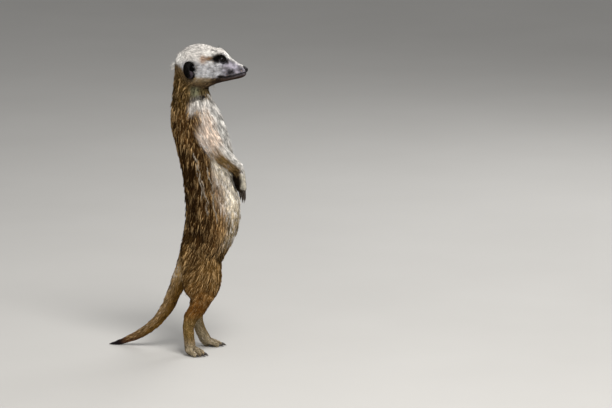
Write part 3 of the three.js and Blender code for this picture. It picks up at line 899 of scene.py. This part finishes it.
# Rings from the lid's inner edge out over the lid and back under it: degrees beyond the slit, and distance
# from the middle of the eye.
LID_RINGS = [
    (0, 5.04), (0.8, 5.26), (3, 5.40), (6, 5.46), (9, 5.42), (11.5, 5.30), (14, 5.42), (18, 5.50), (24, 5.50),
    (32, 5.40), (42, 5.10), (54, 4.60), (54, 4.20), (20, 4.40), (0, 4.80),
]


def set_small_fur(surface, share, flow, depth):
    """The short fine fur of the lids and ears: the share of it at each point, its direction and depth."""
    surface.tipped = np.zeros(len(surface.points))
    surface.density = 9.0 * share
    surface.flow = flow
    sizes = (np.full(len(share), value) for value in (1.5, 0.26, depth))
    surface.length, surface.width, surface.depth = sizes


def lid_shell(side):
    """Both lids of one eye as a closed ring of skin round the slit, with a crease, as a surface."""
    turn = np.linspace(0, 2 * math.pi, LID_STEPS, endpoint=False)
    length, up, down = np.radians(SLIT)
    height = np.where(np.sin(turn) > 0, up, down)
    slit_x = length * np.cos(turn)
    slit_y = height * np.sin(turn) * (1 - 0.22 * np.cos(turn) ** 2)
    open_by = np.hypot(slit_x, slit_y)
    way = np.arctan2(slit_y, slit_x) + SLIT_TILT
    axes = axes_to(gaze("right"))
    points = []
    for beyond, out in LID_RINGS:
        spread = open_by + math.radians(beyond)
        local = np.stack([np.sin(spread) * np.cos(way), np.sin(spread) * np.sin(way), np.cos(spread)], 1)
        points.append(EYE_PLACE * [1, -1, 1] + out * local @ axes)
    points = np.concatenate(points)
    rings = len(LID_RINGS)
    quads = ring_quads(rings, rings, LID_STEPS)
    if side == "left":
        points, quads = points * [1, -1, 1], quads[:, ::-1]
    lids = Surface(points, quads)
    lids.ready()
    ring_of_point = np.repeat(np.arange(rings), LID_STEPS)
    beyond = np.repeat([ring[0] for ring in LID_RINGS], LID_STEPS)
    lower = np.tile(np.sin(way + 0.3) < -0.1, rings) * ramp(beyond, 3, 7) * (1 - ramp(beyond, 12, 22))
    lids.colour = mixed(NEAR_BLACK * 0.7, LAVENDER * 0.3, 0.6 * lower)
    flow = unit(points - EYE_PLACE * [1, SIDES[side], 1]) * [0.4, 0, 1] + [-0.5, 0, 0]
    set_small_fur(lids, ramp(beyond, 5, 12) * (ring_of_point < rings - 4), flow, 0.35)
    return lids


lids = {side: lid_shell(side) for side in SIDES}


def show_skin():
    parts = [skin, *lids.values()]
    starts = np.cumsum([0] + [len(part.points) for part in parts])
    points = np.concatenate([part.points for part in parts])
    quads = np.concatenate([part.quads + start for part, start in zip(parts, starts)])
    shades = [SKIN_SHADE_UNDER_COAT] + [1.0] * len(lids)
    colours = np.concatenate([part.colour * shade for part, shade in zip(parts, shades)])
    thing = make_mesh("skin", points, quads, colours)
    dress(thing, skin_material, "body_coat", *FLESH)


show_skin()

# ---------------------------------------------------------------- the coat's tufts

# The size of a tuft's patch in the map.
PATCH = 0.003
# piece of the coat: (parts of the body, side, the line its map follows, slot)
COAT_PIECES = {
    "coat_face": (HEAD_PARTS, None, HEAD_LINE, "face_coat"),
    "coat_crown": (HEAD_PARTS, None, HEAD_LINE, "face_coat"),
    "coat_neck": (["neck"], None, TRUNK_LINE, "body_coat"),
    "coat_chest": (["chest"], None, TRUNK_LINE, "body_coat"),
    "coat_belly": (["belly"], None, TRUNK_LINE, "body_coat"),
    "coat_hips": (["hips"], None, TRUNK_LINE, "body_coat"),
    "coat_tail": (TAIL_PARTS, None, TAIL_LINE, "tail_coat"),
}
for side in SIDES:
    arm, leg = sided(ARM_LINES[side], side), sided(LEG_LINES[side], side)
    COAT_PIECES[f"coat_{side}_arm"] = (ARM_PARTS, side, arm, "limb_coat")
    COAT_PIECES[f"coat_{side}_leg"] = (LEG_PARTS, side, leg, "limb_coat")
# The coat of the face lies in front of this X, and that of the crown behind it.
FACE_STARTS = 6.0


def piece_of_points():
    """The name of the coat piece that each point of the skin belongs to."""
    names = np.full(len(skin.points), "", dtype=object)
    for name, (kinds, side, _, _) in COAT_PIECES.items():
        names[np.isin(skin.kind, kinds) & (on_side(side) if side else True)] = name
    names[(names == "coat_crown") & (skin.outer[:, 0] > FACE_STARTS)] = "coat_face"
    return names


skin.piece = piece_of_points()
triangle_piece = skin.piece[skin.triangles[:, 0]]


def nearest_on(surface, points):
    """The surface's nearest places to the points, with the corners of the triangle that each is in."""
    found = [surface.tree.find_nearest(point) for point in points.tolist()]
    place = np.array([place for place, _, _, _ in found])
    return place, surface.triangles[[index for _, _, index, _ in found]]


class Roots:
    """Places on a surface where tufts grow, with the surface's own values there."""

    def __init__(self, surface, corner, share, place):
        self.corner = corner
        self.share = share
        self.count = len(corner)
        self.place = self.pick(surface.points) if place is None else place
        self.normal = unit(self.pick(surface.normal))

    @classmethod
    def scattered(cls, rng, surface, chosen, per_area):
        """Roots drawn at random over the chosen triangles, with the surface's own density."""
        first, second, third = surface.points[surface.triangles[chosen]].swapaxes(0, 1)
        area = np.linalg.norm(np.cross(second - first, third - first), axis=1) / 2
        weight = area * surface.density[surface.triangles[chosen]].mean(1) * per_area
        count = int(weight.sum())
        triangle = chosen[rng.choice(len(chosen), count, p=weight / weight.sum())]
        a, b = rng.random((2, count))
        fold = a + b > 1
        a[fold], b[fold] = 1 - a[fold], 1 - b[fold]
        return cls(surface, surface.triangles[triangle], np.stack([1 - a - b, a, b], 1), None)

    @classmethod
    def nearest(cls, surface, points):
        """Roots at the places of the surface that are nearest to the points."""
        place, corner = nearest_on(surface, points)
        return cls(surface, corner, np.full((len(place), 3), 1 / 3), place)

    def pick(self, values):
        """The surface's values at the roots."""
        share = self.share if values.ndim == 1 else self.share[..., None]
        return (values[self.corner] * share).sum(1)


def clumped(rng, place, flow, length, size, pull):
    """The flow with the tips of neighbouring tufts drawn together, and each tuft's clump number."""
    middles = place[rng.choice(len(place), max(1, int(len(place) / size)), replace=False)]
    tree = KDTree(len(middles))
    for index, middle in enumerate(middles.tolist()):
        tree.insert(middle, index)
    tree.balance()
    clump = np.array([tree.find(spot_of_root)[1] for spot_of_root in place.tolist()])
    drawn = flow * length[:, None] + (middles[clump] - place) * pull
    return drawn, clump, len(middles)


def laid(surface, points, heights):
    """The points brought over the surface by shares of its coat's depth, with its normals and colours."""
    nearest, corner = nearest_on(surface, points)
    out = unit(surface.normal[corner].mean(1))
    heights = heights * surface.depth[corner].mean(1)
    return nearest + out * heights[:, None], out, surface.colour[corner].mean(1)


def tuft_arrays(surface, place, normal, flow, length, width, height, tip_height):
    """Closed slender tufts of four points and four faces each: the root, the two sides and the tip."""
    flow = unit(flow - normal * (flow * normal).sum(1, keepdims=True))
    bend, out, bend_colour = laid(surface, place + flow * (RING_PLACE * length)[:, None], height)
    onward = unit(flow - out * (flow * out).sum(1, keepdims=True))
    tip, _, tip_colour = laid(surface, bend + onward * ((1 - RING_PLACE) * length)[:, None], tip_height)
    across = unit(np.cross(out, tip - place))
    half = (width / 2)[:, None]
    points = np.stack([place - normal * ROOT_SINK, bend - across * half, bend + across * half, tip], 1)
    points[..., 2] = np.maximum(points[..., 2], ABOVE_FLOOR)
    faces = np.array([[0, 1, 2], [3, 2, 1], [0, 3, 1], [0, 2, 3]])
    return points, faces, across, bend_colour, tip_colour


def tuft_normals(normal, heading, across):
    """The normals of a tuft's four points, drawn towards the skin's so that the light falls softly on it."""
    own = np.stack([-heading, -across, across, heading], 1)
    return unit(normal[:, None] * NORMAL_FROM_SKIN + own * (1 - NORMAL_FROM_SKIN))


def unwrap(line, place):
    """Each place as its way round the line and along it, both from 0 to 1."""
    _, along, heading = line_walk(line, place)
    steady = np.array([0.0, 1.0, 0.0])
    level = unit(np.cross(steady, heading))
    foot = np.stack([np.interp(along, *line_lengths(line, axis)) for axis in range(3)], 1)
    out = place - foot
    turn = np.arctan2(out @ steady, (out * level).sum(1)) / (2 * math.pi) + 0.5
    both = np.stack([turn, along], 1)
    return (both - both.min(0)) / np.maximum(np.ptp(both, axis=0), 1e-6) * (1 - 4 * PATCH) + 2 * PATCH


def line_lengths(line, axis):
    line = np.asarray(line, float)
    steps = np.linalg.norm(np.diff(line, axis=0), axis=1)
    return np.concatenate([[0], np.cumsum(steps)]), line[:, axis]


ABOVE_FLOOR = 0.1
# How far a tuft's normals follow the skin's.
NORMAL_FROM_SKIN = 0.6
# How far along a tuft its two sides are, and how deep its root is sunk.
RING_PLACE = 0.42
ROOT_SINK = 0.25
# How many tufts make a clump, and how far their tips are drawn to its middle.
CLUMP_SIZE = 7
CLUMP_PULL = 0.35
# The share of tufts that take their clump's colour.
CLUMP_FATE = 0.3
UNDERCOAT = {"per_area": 1.0, "longer": 1.0, "thinner": 1.0, "over": 0.0, "whole": 0.35, "uneven": 0.45}
# The guard hairs lie over the undercoat: fewer, longer and of stronger colours, so that they show as streaks.
GUARD_HAIRS = {"per_area": 0.15, "longer": 1.5, "thinner": 0.85, "over": 0.45, "whole": 0.85, "uneven": 0.9}


def tuft_colours(rng, base, tip_base, fate, tips, whole, uneven):
    """The colours of a tuft's four points. tips is the share of tufts with a pale tip and with a dark tip."""
    light = (1 - uneven / 2 + uneven * rng.random(len(base)))[:, None]
    pale, dark = tips
    # Pale tips are golden on brown hair and missing on black hair. Dark tips are grey on pale hair.
    bright = base.mean(1)
    show = (fate < pale) * ramp(bright, 0.008, 0.05)
    pale_tip = mixed(GOLD_TIP, CREAM, ramp(bright, 0.12, 0.35))
    dark_tip = mixed(DARK_BROWN, base * 0.55, ramp(bright, 0.10, 0.30))
    is_dark = (fate > 1 - dark).astype(float)
    middle = mixed(base, pale_tip, whole * show)
    middle = mixed(middle, dark_tip, whole * is_dark) * light
    towards = mixed(tip_base * 1.12, pale_tip, 0.75 * show)
    towards = mixed(towards, dark_tip * 0.8, 0.8 * is_dark) * light
    return np.stack([middle * 0.5, middle, middle, towards], 1)


def grow(seed, surface, chosen, line, tips, layer=UNDERCOAT):
    """The points, faces, colours, normals and map of one layer of a coat piece."""
    rng = np.random.default_rng(seed)
    roots = Roots.scattered(rng, surface, chosen, layer["per_area"])
    count, place, normal = roots.count, roots.place, roots.normal
    length = roots.pick(surface.length) * layer["longer"] * (0.72 + 0.5 * rng.random(count))
    drawn, clump, clumps = clumped(rng, place, roots.pick(surface.flow), length, CLUMP_SIZE, CLUMP_PULL)
    across = np.cross(normal, unit(drawn))
    swing = 0.13 * rng.standard_normal(clumps)[clump] + 0.08 * rng.standard_normal(count)
    drawn = unit(drawn) + across * swing[:, None]
    width = roots.pick(surface.width) * layer["thinner"] * (0.75 + 0.5 * rng.random(count))
    fate = np.where(rng.random(count) < CLUMP_FATE, rng.random(clumps)[clump], rng.random(count))
    lift = np.clip(1 + 0.2 * rng.standard_normal(clumps)[clump] + 0.15 * rng.standard_normal(count), 0.4, 1.5)
    height = (0.20 + 0.50 * rng.random(count)) * lift + layer["over"]
    tip_height = (0.10 + 0.85 * rng.random(count)) * lift + layer["over"]
    clump_light = (0.76 + 0.48 * rng.random(clumps))[clump, None]
    own_tips = (tips[0] * roots.pick(surface.tipped), tips[1])
    points, faces, across, base, tip_base = tuft_arrays(
        surface, place, normal, drawn, length, width, height, tip_height
    )
    shades = clump_light * base, clump_light * tip_base
    colours = tuft_colours(rng, *shades, fate, own_tips, layer["whole"], layer["uneven"])
    return as_growth(points, faces, colours, tuft_normals(normal, unit(drawn), across), line, place)


def as_growth(points, faces, colours, normals, line, place):
    """Flat arrays of many like tufts, with each tuft's patch of the map at its root's place."""
    count, corners = points.shape[:2]
    around = np.linspace(0, 2 * math.pi, corners, endpoint=False)
    corner = np.stack([np.cos(around), np.sin(around)], 1) * PATCH / 2
    maps = unwrap(line, place)[:, None] + corner
    faces = (faces[None] + corners * np.arange(count)[:, None, None]).reshape(-1, 3)
    points, colours, normals = (values.reshape(-1, 3) for values in (points, colours, normals))
    return points, faces, colours, normals, maps.reshape(-1, 2)


def joined(parts):
    """Several growths as one."""
    starts = np.cumsum([0] + [len(part[0]) for part in parts])
    faces = np.concatenate([part[1] + start for part, start in zip(parts, starts)])
    others = [np.concatenate([part[i] for part in parts]) for i in (0, 2, 3, 4)]
    return others[0], faces, *others[1:]


def show_coat(name, arrays, slot):
    points, faces, colours, normals, maps = arrays
    thing = make_mesh(name, points, faces, colours)
    layer = thing.data.uv_layers.new(name="OFBake")
    layer.data.foreach_set("uv", maps[faces.ravel()].ravel())
    thing.data.normals_split_custom_set_from_vertices(normals)
    dress(thing, coat_material, slot)


# The shares of tufts with a pale tip and with a dark tip.
BODY_TIPS = (0.34, 0.22)
TIPS = {
    "coat_face": (0.3, 0.16),
    "coat_crown": (0.3, 0.08),
    "coat_tail": (0.3, 0.15),
    "coat_right_leg": (0.12, 0.08),
    "coat_left_leg": (0.12, 0.08),
}
# The pieces with guard hairs, and the shares of them that are pale and dark.
GUARD_TIPS = {
    "coat_neck": (0.30, 0.25),
    "coat_chest": (0.36, 0.28),
    "coat_belly": (0.36, 0.28),
    "coat_hips": (0.34, 0.26),
    "coat_right_leg": (0.34, 0.14),
    "coat_left_leg": (0.34, 0.14),
    "coat_right_arm": (0.3, 0.22),
    "coat_left_arm": (0.3, 0.22),
    "coat_tail": (0.3, 0.2),
}


def show_coats():
    for number, (name, (_, _, line, slot)) in enumerate(COAT_PIECES.items()):
        chosen = np.flatnonzero(triangle_piece == name)
        show_coat(name, grow(100 + number, skin, chosen, line, TIPS.get(name, BODY_TIPS)), slot)
        if name in GUARD_TIPS:
            guard = grow(140 + number, skin, chosen, line, GUARD_TIPS[name], GUARD_HAIRS)
            show_coat(name.replace("coat", "guard_hairs"), guard, slot)


show_coats()

# ---------------------------------------------------------------- eyes


def eye_material(side):
    """A near-black wet eye: a dark brown iris round a black pupil, and a darker rim."""
    material, tree, shader = new_material(f"{side}_eye", Roughness=0.06, Specular_IOR_Level=0.13)
    place = add_node(tree, "ShaderNodeTexCoord")
    middle = to_scene(EYE_PLACE * [1, SIDES[side], 1])
    from_middle = {0: place.outputs["Object"], 1: tuple(middle)}
    out = add_node(tree, "ShaderNodeVectorMath", from_middle, operation="SUBTRACT")
    way = add_node(tree, "ShaderNodeVectorMath", {0: out.outputs["Vector"]}, operation="NORMALIZE")
    both = {0: way.outputs["Vector"], 1: tuple(gaze(side))}
    facing = add_node(tree, "ShaderNodeVectorMath", both, operation="DOT_PRODUCT")
    rings = add_node(tree, "ShaderNodeValToRGB", {"Fac": facing.outputs["Value"]})
    stops = rings.color_ramp.elements
    stops[0].position, stops[0].color = 0.60, (0.010, 0.007, 0.006, 1)
    stops[1].position, stops[1].color = 0.93, (0.004, 0.003, 0.003, 1)
    for position, colour in ((0.72, (0.012, 0.006, 0.004, 1)), (0.88, (0.008, 0.004, 0.003, 1))):
        stops.new(position).color = colour
    tree.links.new(rings.outputs["Color"], shader.inputs["Base Color"])
    return material


def show_eye(side):
    directions, quads = sphere_grid(64, 48)
    axes = axes_to(gaze(side))
    cornea = 1 + 0.035 * ramp(directions[:, 2], 0.88, 0.99)
    points = EYE_PLACE * [1, SIDES[side], 1] + EYE_RADIUS * 0.985 * (directions * cornea[:, None]) @ axes
    thing = make_mesh(f"eyeball_{side}", points, quads)
    dress(thing, eye_material(side), "eye", f"{side}_eye")


for side in SIDES:
    show_eye(side)

# ---------------------------------------------------------------- nose, ears and claws


def plain_material(name, colour, second, scale, grain, **sockets):
    """Two close colours in a fine uneven pattern, with the same pattern as bump."""
    material, tree, shader = new_material(name, **sockets)
    noise = noise_node(tree, scale, 5.0)
    two_tone(tree, shader, noise, linear(*colour), linear(*second))
    bump(tree, shader, noise.outputs["Fac"], grain * MM)
    return material


nose_looks = {"Roughness": 0.45, "Specular_IOR_Level": 0.25}
nose_material = plain_material("nose", (8, 6, 7), (26, 20, 23), 1600.0, 0.3, **nose_looks)
ear_material = marked_material("ear", 0.7, 500.0, 0.25, 0.3, Specular_IOR_Level=0.15)
claw_material = plain_material("claw", (26, 20, 16), (62, 50, 40), 700.0, 0.15, Roughness=0.4)


def lump(centre, halves, turn=0.0):
    """A rounded lump as a bmesh in the scene's metres, turned about Y by an angle in degrees."""
    directions, quads = sphere_grid(24, 12)
    angle = math.radians(turn)
    cosine, sine = math.cos(angle), math.sin(angle)
    spin = np.array([[cosine, 0, -sine], [0, 1, 0], [sine, 0, cosine]])
    points = to_scene((directions * halves) @ spin + centre)
    piece = bmesh.new()
    corners = [piece.verts.new(point) for point in points]
    for quad in quads:
        piece.faces.new([corners[i] for i in quad])
    bmesh.ops.remove_doubles(piece, verts=piece.verts, dist=1e-7)
    return piece


nose = Surface(*remeshed([welded("nose")], 0.3))
nose.points = nose.smooth(nose.points, 3, 0.5)
NOSTRIL = [(47.2, 2.3, 286.4), (1.9, 1.3, 1.1)]
nostrils = spot(mirrored(nose.points), *NOSTRIL, 0.4)
middle_groove = (1 - ramp(np.abs(nose.points[:, 1]), 0.2, 0.7)) * ramp(nose.points[:, 0], 45, 46.5)
nose.points += nose.normals() * (-1.1 * nostrils - 0.35 * middle_groove)[:, None]
dress(make_mesh("nose_pad", nose.points, nose.quads), nose_material, "nose_skin", "nose")

# Folds inside each ear: the middle, half sizes, turn about Y, and how grey each one is. The grey of the first
# is the inner ear's own skin; that of the second is a painted highlight on the rim.
EAR_FOLDS = [
    ((-8.2, 21.6, 284.8), (2.7, 2.3, 3.6), -18, 1.0),
    # A painted highlight on the ear's rim, in grey.
    ((-11.4, 22.6, 290.6), (1.1, 1.8, 3.8), 10, 0.8),
]


def show_ear(side):
    sign = SIDES[side]
    folds = [lump(np.array(centre) * [1, sign, 1], halves, turn) for centre, halves, turn, _ in EAR_FOLDS]
    ear = Surface(*remeshed([welded(f"{side}_ear"), *folds], 0.4))
    ear.points = ear.smooth(ear.points, 3, 0.5)
    ear.ready()
    place = mirrored(ear.points)
    ear.colour = np.tile(NEAR_BLACK, (len(place), 1))
    inside = np.zeros(len(place))
    for centre, halves, _, grey in EAR_FOLDS:
        near = spot(place, centre, np.array(halves) * 1.25, 0.35) * grey
        # The folds' grey: the inner ear's own skin, and a painted highlight on the rim.
        ear.colour = mixed(ear.colour, EAR_GREY_AND_HIGHLIGHT, 0.85 * near)
        inside = np.maximum(inside, near)
    thing = make_mesh(f"ear_{side}", ear.points, ear.quads, ear.colour)
    dress(thing, ear_material, "ear_skin", f"{side}_ear")
    back = np.clip(-ear.normal[:, 0] * 0.7 + ear.normal[:, 1] * sign * 0.5 + 0.5, 0, 1)
    set_small_fur(ear, back * (1 - inside), np.tile([-0.5, 0.0, 0.6], (len(place), 1)), 0.3)
    return ear


ears = {side: show_ear(side) for side in SIDES}


# Pale locks that lie over the flank on both sides, as lines of X and Z.
LOCK_LINES = [
    [(-10, 210), (-8, 204), (-5, 198), (-4, 190), (-2, 183)],
    [(-8, 197), (-4, 187), (-1, 177), (1, 165)],
    [(7, 197), (9, 189), (12, 179), (15, 171), (17, 162)],
    [(0, 182), (3, 173), (6, 161), (7, 150)],
    [(11, 172), (13, 164), (15, 154), (17, 144)],
]
LOCK_STEP = 0.6
LOCK_HALF = 0.6
# A Y outside the animal, from which the nearest skin is that of the flank.
OUTSIDE = 34.0


def locks():
    """Thin pale locks of hair laid over the flank."""
    rng = np.random.default_rng(301)
    parts = []
    for line in LOCK_LINES:
        path = np.array([(x, 0, z) for x, z in line], float)
        lengths, _ = line_lengths(path, 0)
        along = np.arange(0, lengths[-1], LOCK_STEP)
        x, z = (np.interp(along, lengths, path[:, axis]) for axis in (0, 2))
        wave = 0.45 * np.sin(along * 0.35 + line[0][0])
        for sign in SIDES.values():
            aside = x + wave + LOCK_HALF * rng.standard_normal(len(along))
            roots = Roots.nearest(skin, np.column_stack([aside, np.full(len(along), OUTSIDE * sign), z]))
            heading = np.gradient(np.stack([x + wave, 0 * z, z], 1), axis=0)
            length = 6.5 + 3 * rng.random(len(along))
            width = 0.28 + 0.14 * rng.random(len(along))
            heights = 1.0 + 0.25 * rng.random(len(along)), 0.9 + 0.4 * rng.random(len(along))
            arrays = tuft_arrays(skin, roots.place, roots.normal, unit(heading), length, width, *heights)
            points, faces, across = arrays[:3]
            shade = (0.2 + 0.55 * rng.random(len(along)))[:, None, None]
            colours = LOCK_CREAM * shade * np.array([0.4, 0.9, 0.9, 1.0])[:, None]
            normals = tuft_normals(roots.normal, unit(heading), across)
            parts.append(as_growth(points, faces, colours, normals, TRUNK_LINE, roots.place))
    return joined(parts)


# Hairs that stand off from the outline: the middle of where they grow, its half sizes, how many, their
# direction, length, width, droop and colour. Those with a Y are on both sides.
WISPS = [
    ((-25, 0, 290.5), (1.5, 4.0, 3.2), 130, (-1.0, 0, -0.28), 5.8, 0.38, 0.08, WHITE * 1.1),
    ((-22, 0, 306), (2, 4, 1.5), 30, (-1.0, 0, 0.1), 3.8, 0.30, 0.10, CREAM),
    ((-26, 0, 272), (2, 10, 14), 120, (-0.5, 0, -1.0), 6.5, 0.26, 0.10, GOLD_TIP * 0.6),
    ((32, 0, 217), (3, 9, 12), 60, (1.0, 0, -0.25), 8.0, 0.24, 0.20, WHITE),
    ((9, 9, 264), (1.2, 2, 1.2), 40, (0.62, 0, -0.75), 9.5, 0.34, 0.02, WHITE),
    ((12, 0, 275), (2, 4, 1.5), 16, (0.1, 0, -1.0), 8.5, 0.18, 0.05, CREAM),
    ((-22, 8, 86), (4, 3, 6), 170, (0.42, 0.42, -0.80), 8.0, 0.36, 0.05, RUMP_GOLD * 0.85),
    ((38, 0, 142), (5, 10, 24), 150, (0.35, 0, -0.93), 6.5, 0.24, 0.05, CREAM * 0.8),
    ((28, 0, 114), (2, 3, 2.5), 60, (0.45, 0, -0.9), 5.0, 0.26, 0.05, DARK_BROWN),
    ((-12, 22, 74), (4, 6, 9), 50, (-0.6, 0.1, -0.8), 6.0, 0.28, 0.05, THIGH_TAN * 1.2),
    ((20, 24, 197), (9, 5, 5), 60, (0.55, 0.1, -0.8), 5.5, 0.24, 0.05, CREAM * 0.8),
    ((34, 9, 288), (3.5, 1, 2.5), 12, (-0.3, 0.75, -0.3), 17.0, 0.15, 0.15, NEAR_BLACK * 3),
    ((20, 11, 306), (2, 1, 0.8), 4, (-0.2, 0.45, 0.6), 8.0, 0.15, 0.25, NEAR_BLACK * 3),
    ((-1, 20, 290), (0.8, 4, 6), 34, (-0.9, 0.3, 0.05), 4.2, 0.22, 0.0, GREY * 0.7),
]
# Where along a hair its three rings and its tip are, and how wide each ring is.
STRAND_PLACES = np.array([0, 0.35, 0.7, 1])
STRAND_WIDTHS = np.array([1, 0.8, 0.5])


def strands(rng, roots, direction, length, width, droop, colour):
    """Free hairs, each a thin closed rod of three sides that bends down towards its tip."""
    count = roots.count
    heading = unit(unit(direction) + 0.16 * rng.standard_normal((count, 3)) + 0.1 * roots.normal)
    reach = (length * (0.6 + 0.6 * rng.random(count)))[:, None, None]
    t = STRAND_PLACES[None, :, None]
    down = np.array([0.0, 0.0, -1.0])
    start = roots.place - 0.3 * roots.normal
    path = start[:, None] + reach * (heading[:, None] * t + down * droop * t**2)
    path[..., 2] = np.maximum(path[..., 2], ABOVE_FLOOR + 0.3)
    side = unit(np.cross(heading, [0.31, 0.12, 0.9]))
    up = np.cross(heading, side)
    turn = np.arange(3) * 2 * math.pi / 3
    around = side[:, None] * np.cos(turn)[:, None] + up[:, None] * np.sin(turn)[:, None]
    rings = path[:, :3, None] + around[:, None] * (STRAND_WIDTHS[:, None, None] * width / 2)
    points = np.concatenate([rings.reshape(count, 9, 3), path[:, 3:]], 1)
    faces = [[0, 2, 1]]
    for k in range(3):
        after = (k + 1) % 3
        for low in (0, 3):
            faces += [[low + k, low + after, low + 3 + after], [low + k, low + 3 + after, low + 3 + k]]
        faces.append([6 + k, 6 + after, 9])
    shade = (0.75 + 0.5 * rng.random(count))[:, None, None]
    colours = colour * shade * np.repeat([0.6, 0.95, 1.05, 1.1], [3, 3, 3, 1])[:, None]
    radial = np.concatenate([np.tile(around, (1, 3, 1)), heading[:, None]], 1)
    normals = unit(radial + 0.7 * roots.normal[:, None])
    return as_growth(points, np.array(faces), colours, normals, TRUNK_LINE, roots.place)


def wisps():
    rng = np.random.default_rng(302)
    parts = []
    for middle, halves, count, direction, *looks in WISPS:
        for sign in SIDES.values() if middle[1] else (1,):
            side = np.array([1, sign, 1])
            spots = (middle + halves * rng.uniform(-1, 1, (count, 3))) * side
            parts.append(strands(rng, Roots.nearest(skin, spots), direction * side, *looks))
    return joined(parts)


def show_small_fur():
    """The shortest fur: on the lids and on the backs and rims of the ears."""
    parts = []
    for number, surface in enumerate([*lids.values(), *ears.values()]):
        every = np.arange(len(surface.triangles))
        parts.append(grow(200 + number, surface, every, HEAD_LINE, (0.0, 0.1)))
    show_coat("coat_lids_and_ears", joined(parts), "face_coat")


show_small_fur()
show_coat("coat_locks", locks(), "body_coat")
show_coat("coat_wisps", wisps(), "body_coat")

for name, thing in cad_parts.items():
    if "claw" in name:
        thing.data.materials.clear()
        thing.data.materials.append(claw_material)
        thing.data.polygons.foreach_set("use_smooth", np.full(len(thing.data.polygons), True))

# ---------------------------------------------------------------- floor, light and camera

CAMERA_TILT = math.radians(11)
CAMERA_FAR = 4000.0
# The width of the view at the animal, and the middle of the view.
VIEW_WIDTH = 612.0
AIM = np.array([105.9, 0.0, 150.25])


def show_floor():
    reach, low = 6.0, CAD_BOX[0][2]
    points = to_body([(-reach, -reach, low), (reach, -reach, low), (reach, reach, low), (-reach, reach, low)])
    thing = make_mesh("floor", points, [[0, 1, 2, 3]])
    material, tree, shader = new_material("floor", Roughness=0.9, Specular_IOR_Level=0.1)
    two_tone(tree, shader, noise_node(tree, 6.0), (0.50, 0.49, 0.47), (0.54, 0.53, 0.51))
    thing.data.materials.append(material)


def add_lamp(name, place, size, power, colour=(1, 1, 1)):
    data = bpy.data.lights.new(name, "AREA")
    data.energy, data.size, data.color = power, size, colour
    lamp = bpy.data.objects.new(name, data)
    bpy.context.scene.collection.objects.link(lamp)
    at = to_scene(place)
    lamp.location = at
    towards = to_scene((0, 0, 170)) - at
    axes = axes_to(-towards)
    lamp.matrix_world = Matrix([[*axes[:, i], at[i]] for i in range(3)] + [[0, 0, 0, 1]])


def set_camera():
    data = bpy.data.cameras.new("camera")
    data.sensor_width = 36.0
    data.lens = data.sensor_width * CAMERA_FAR / VIEW_WIDTH
    data.clip_end = 100.0
    camera = bpy.data.objects.new("camera", data)
    bpy.context.scene.collection.objects.link(camera)
    back = np.array([0, -math.cos(CAMERA_TILT), math.sin(CAMERA_TILT)])
    camera.location = to_scene(AIM + CAMERA_FAR * back)
    camera.rotation_euler = (math.pi / 2 - CAMERA_TILT, 0, 0)
    bpy.context.scene.camera = camera


def set_world():
    world = bpy.data.worlds.new("studio")
    world.use_nodes = True
    back = world.node_tree.nodes["Background"]
    back.inputs["Color"].default_value = (0.86, 0.86, 0.86, 1)
    back.inputs["Strength"].default_value = 0.38
    bpy.context.scene.world = world


show_floor()
add_lamp("key", (350, -800, 1350), 0.6, 22.5, (1.0, 0.98, 0.95))
add_lamp("fill", (-850, -2550, 730), 2.4, 23)
add_lamp("rim", (700, 900, 1000), 0.8, 8)
set_world()
set_camera()
bpy.context.scene.view_settings.view_transform = "Standard"
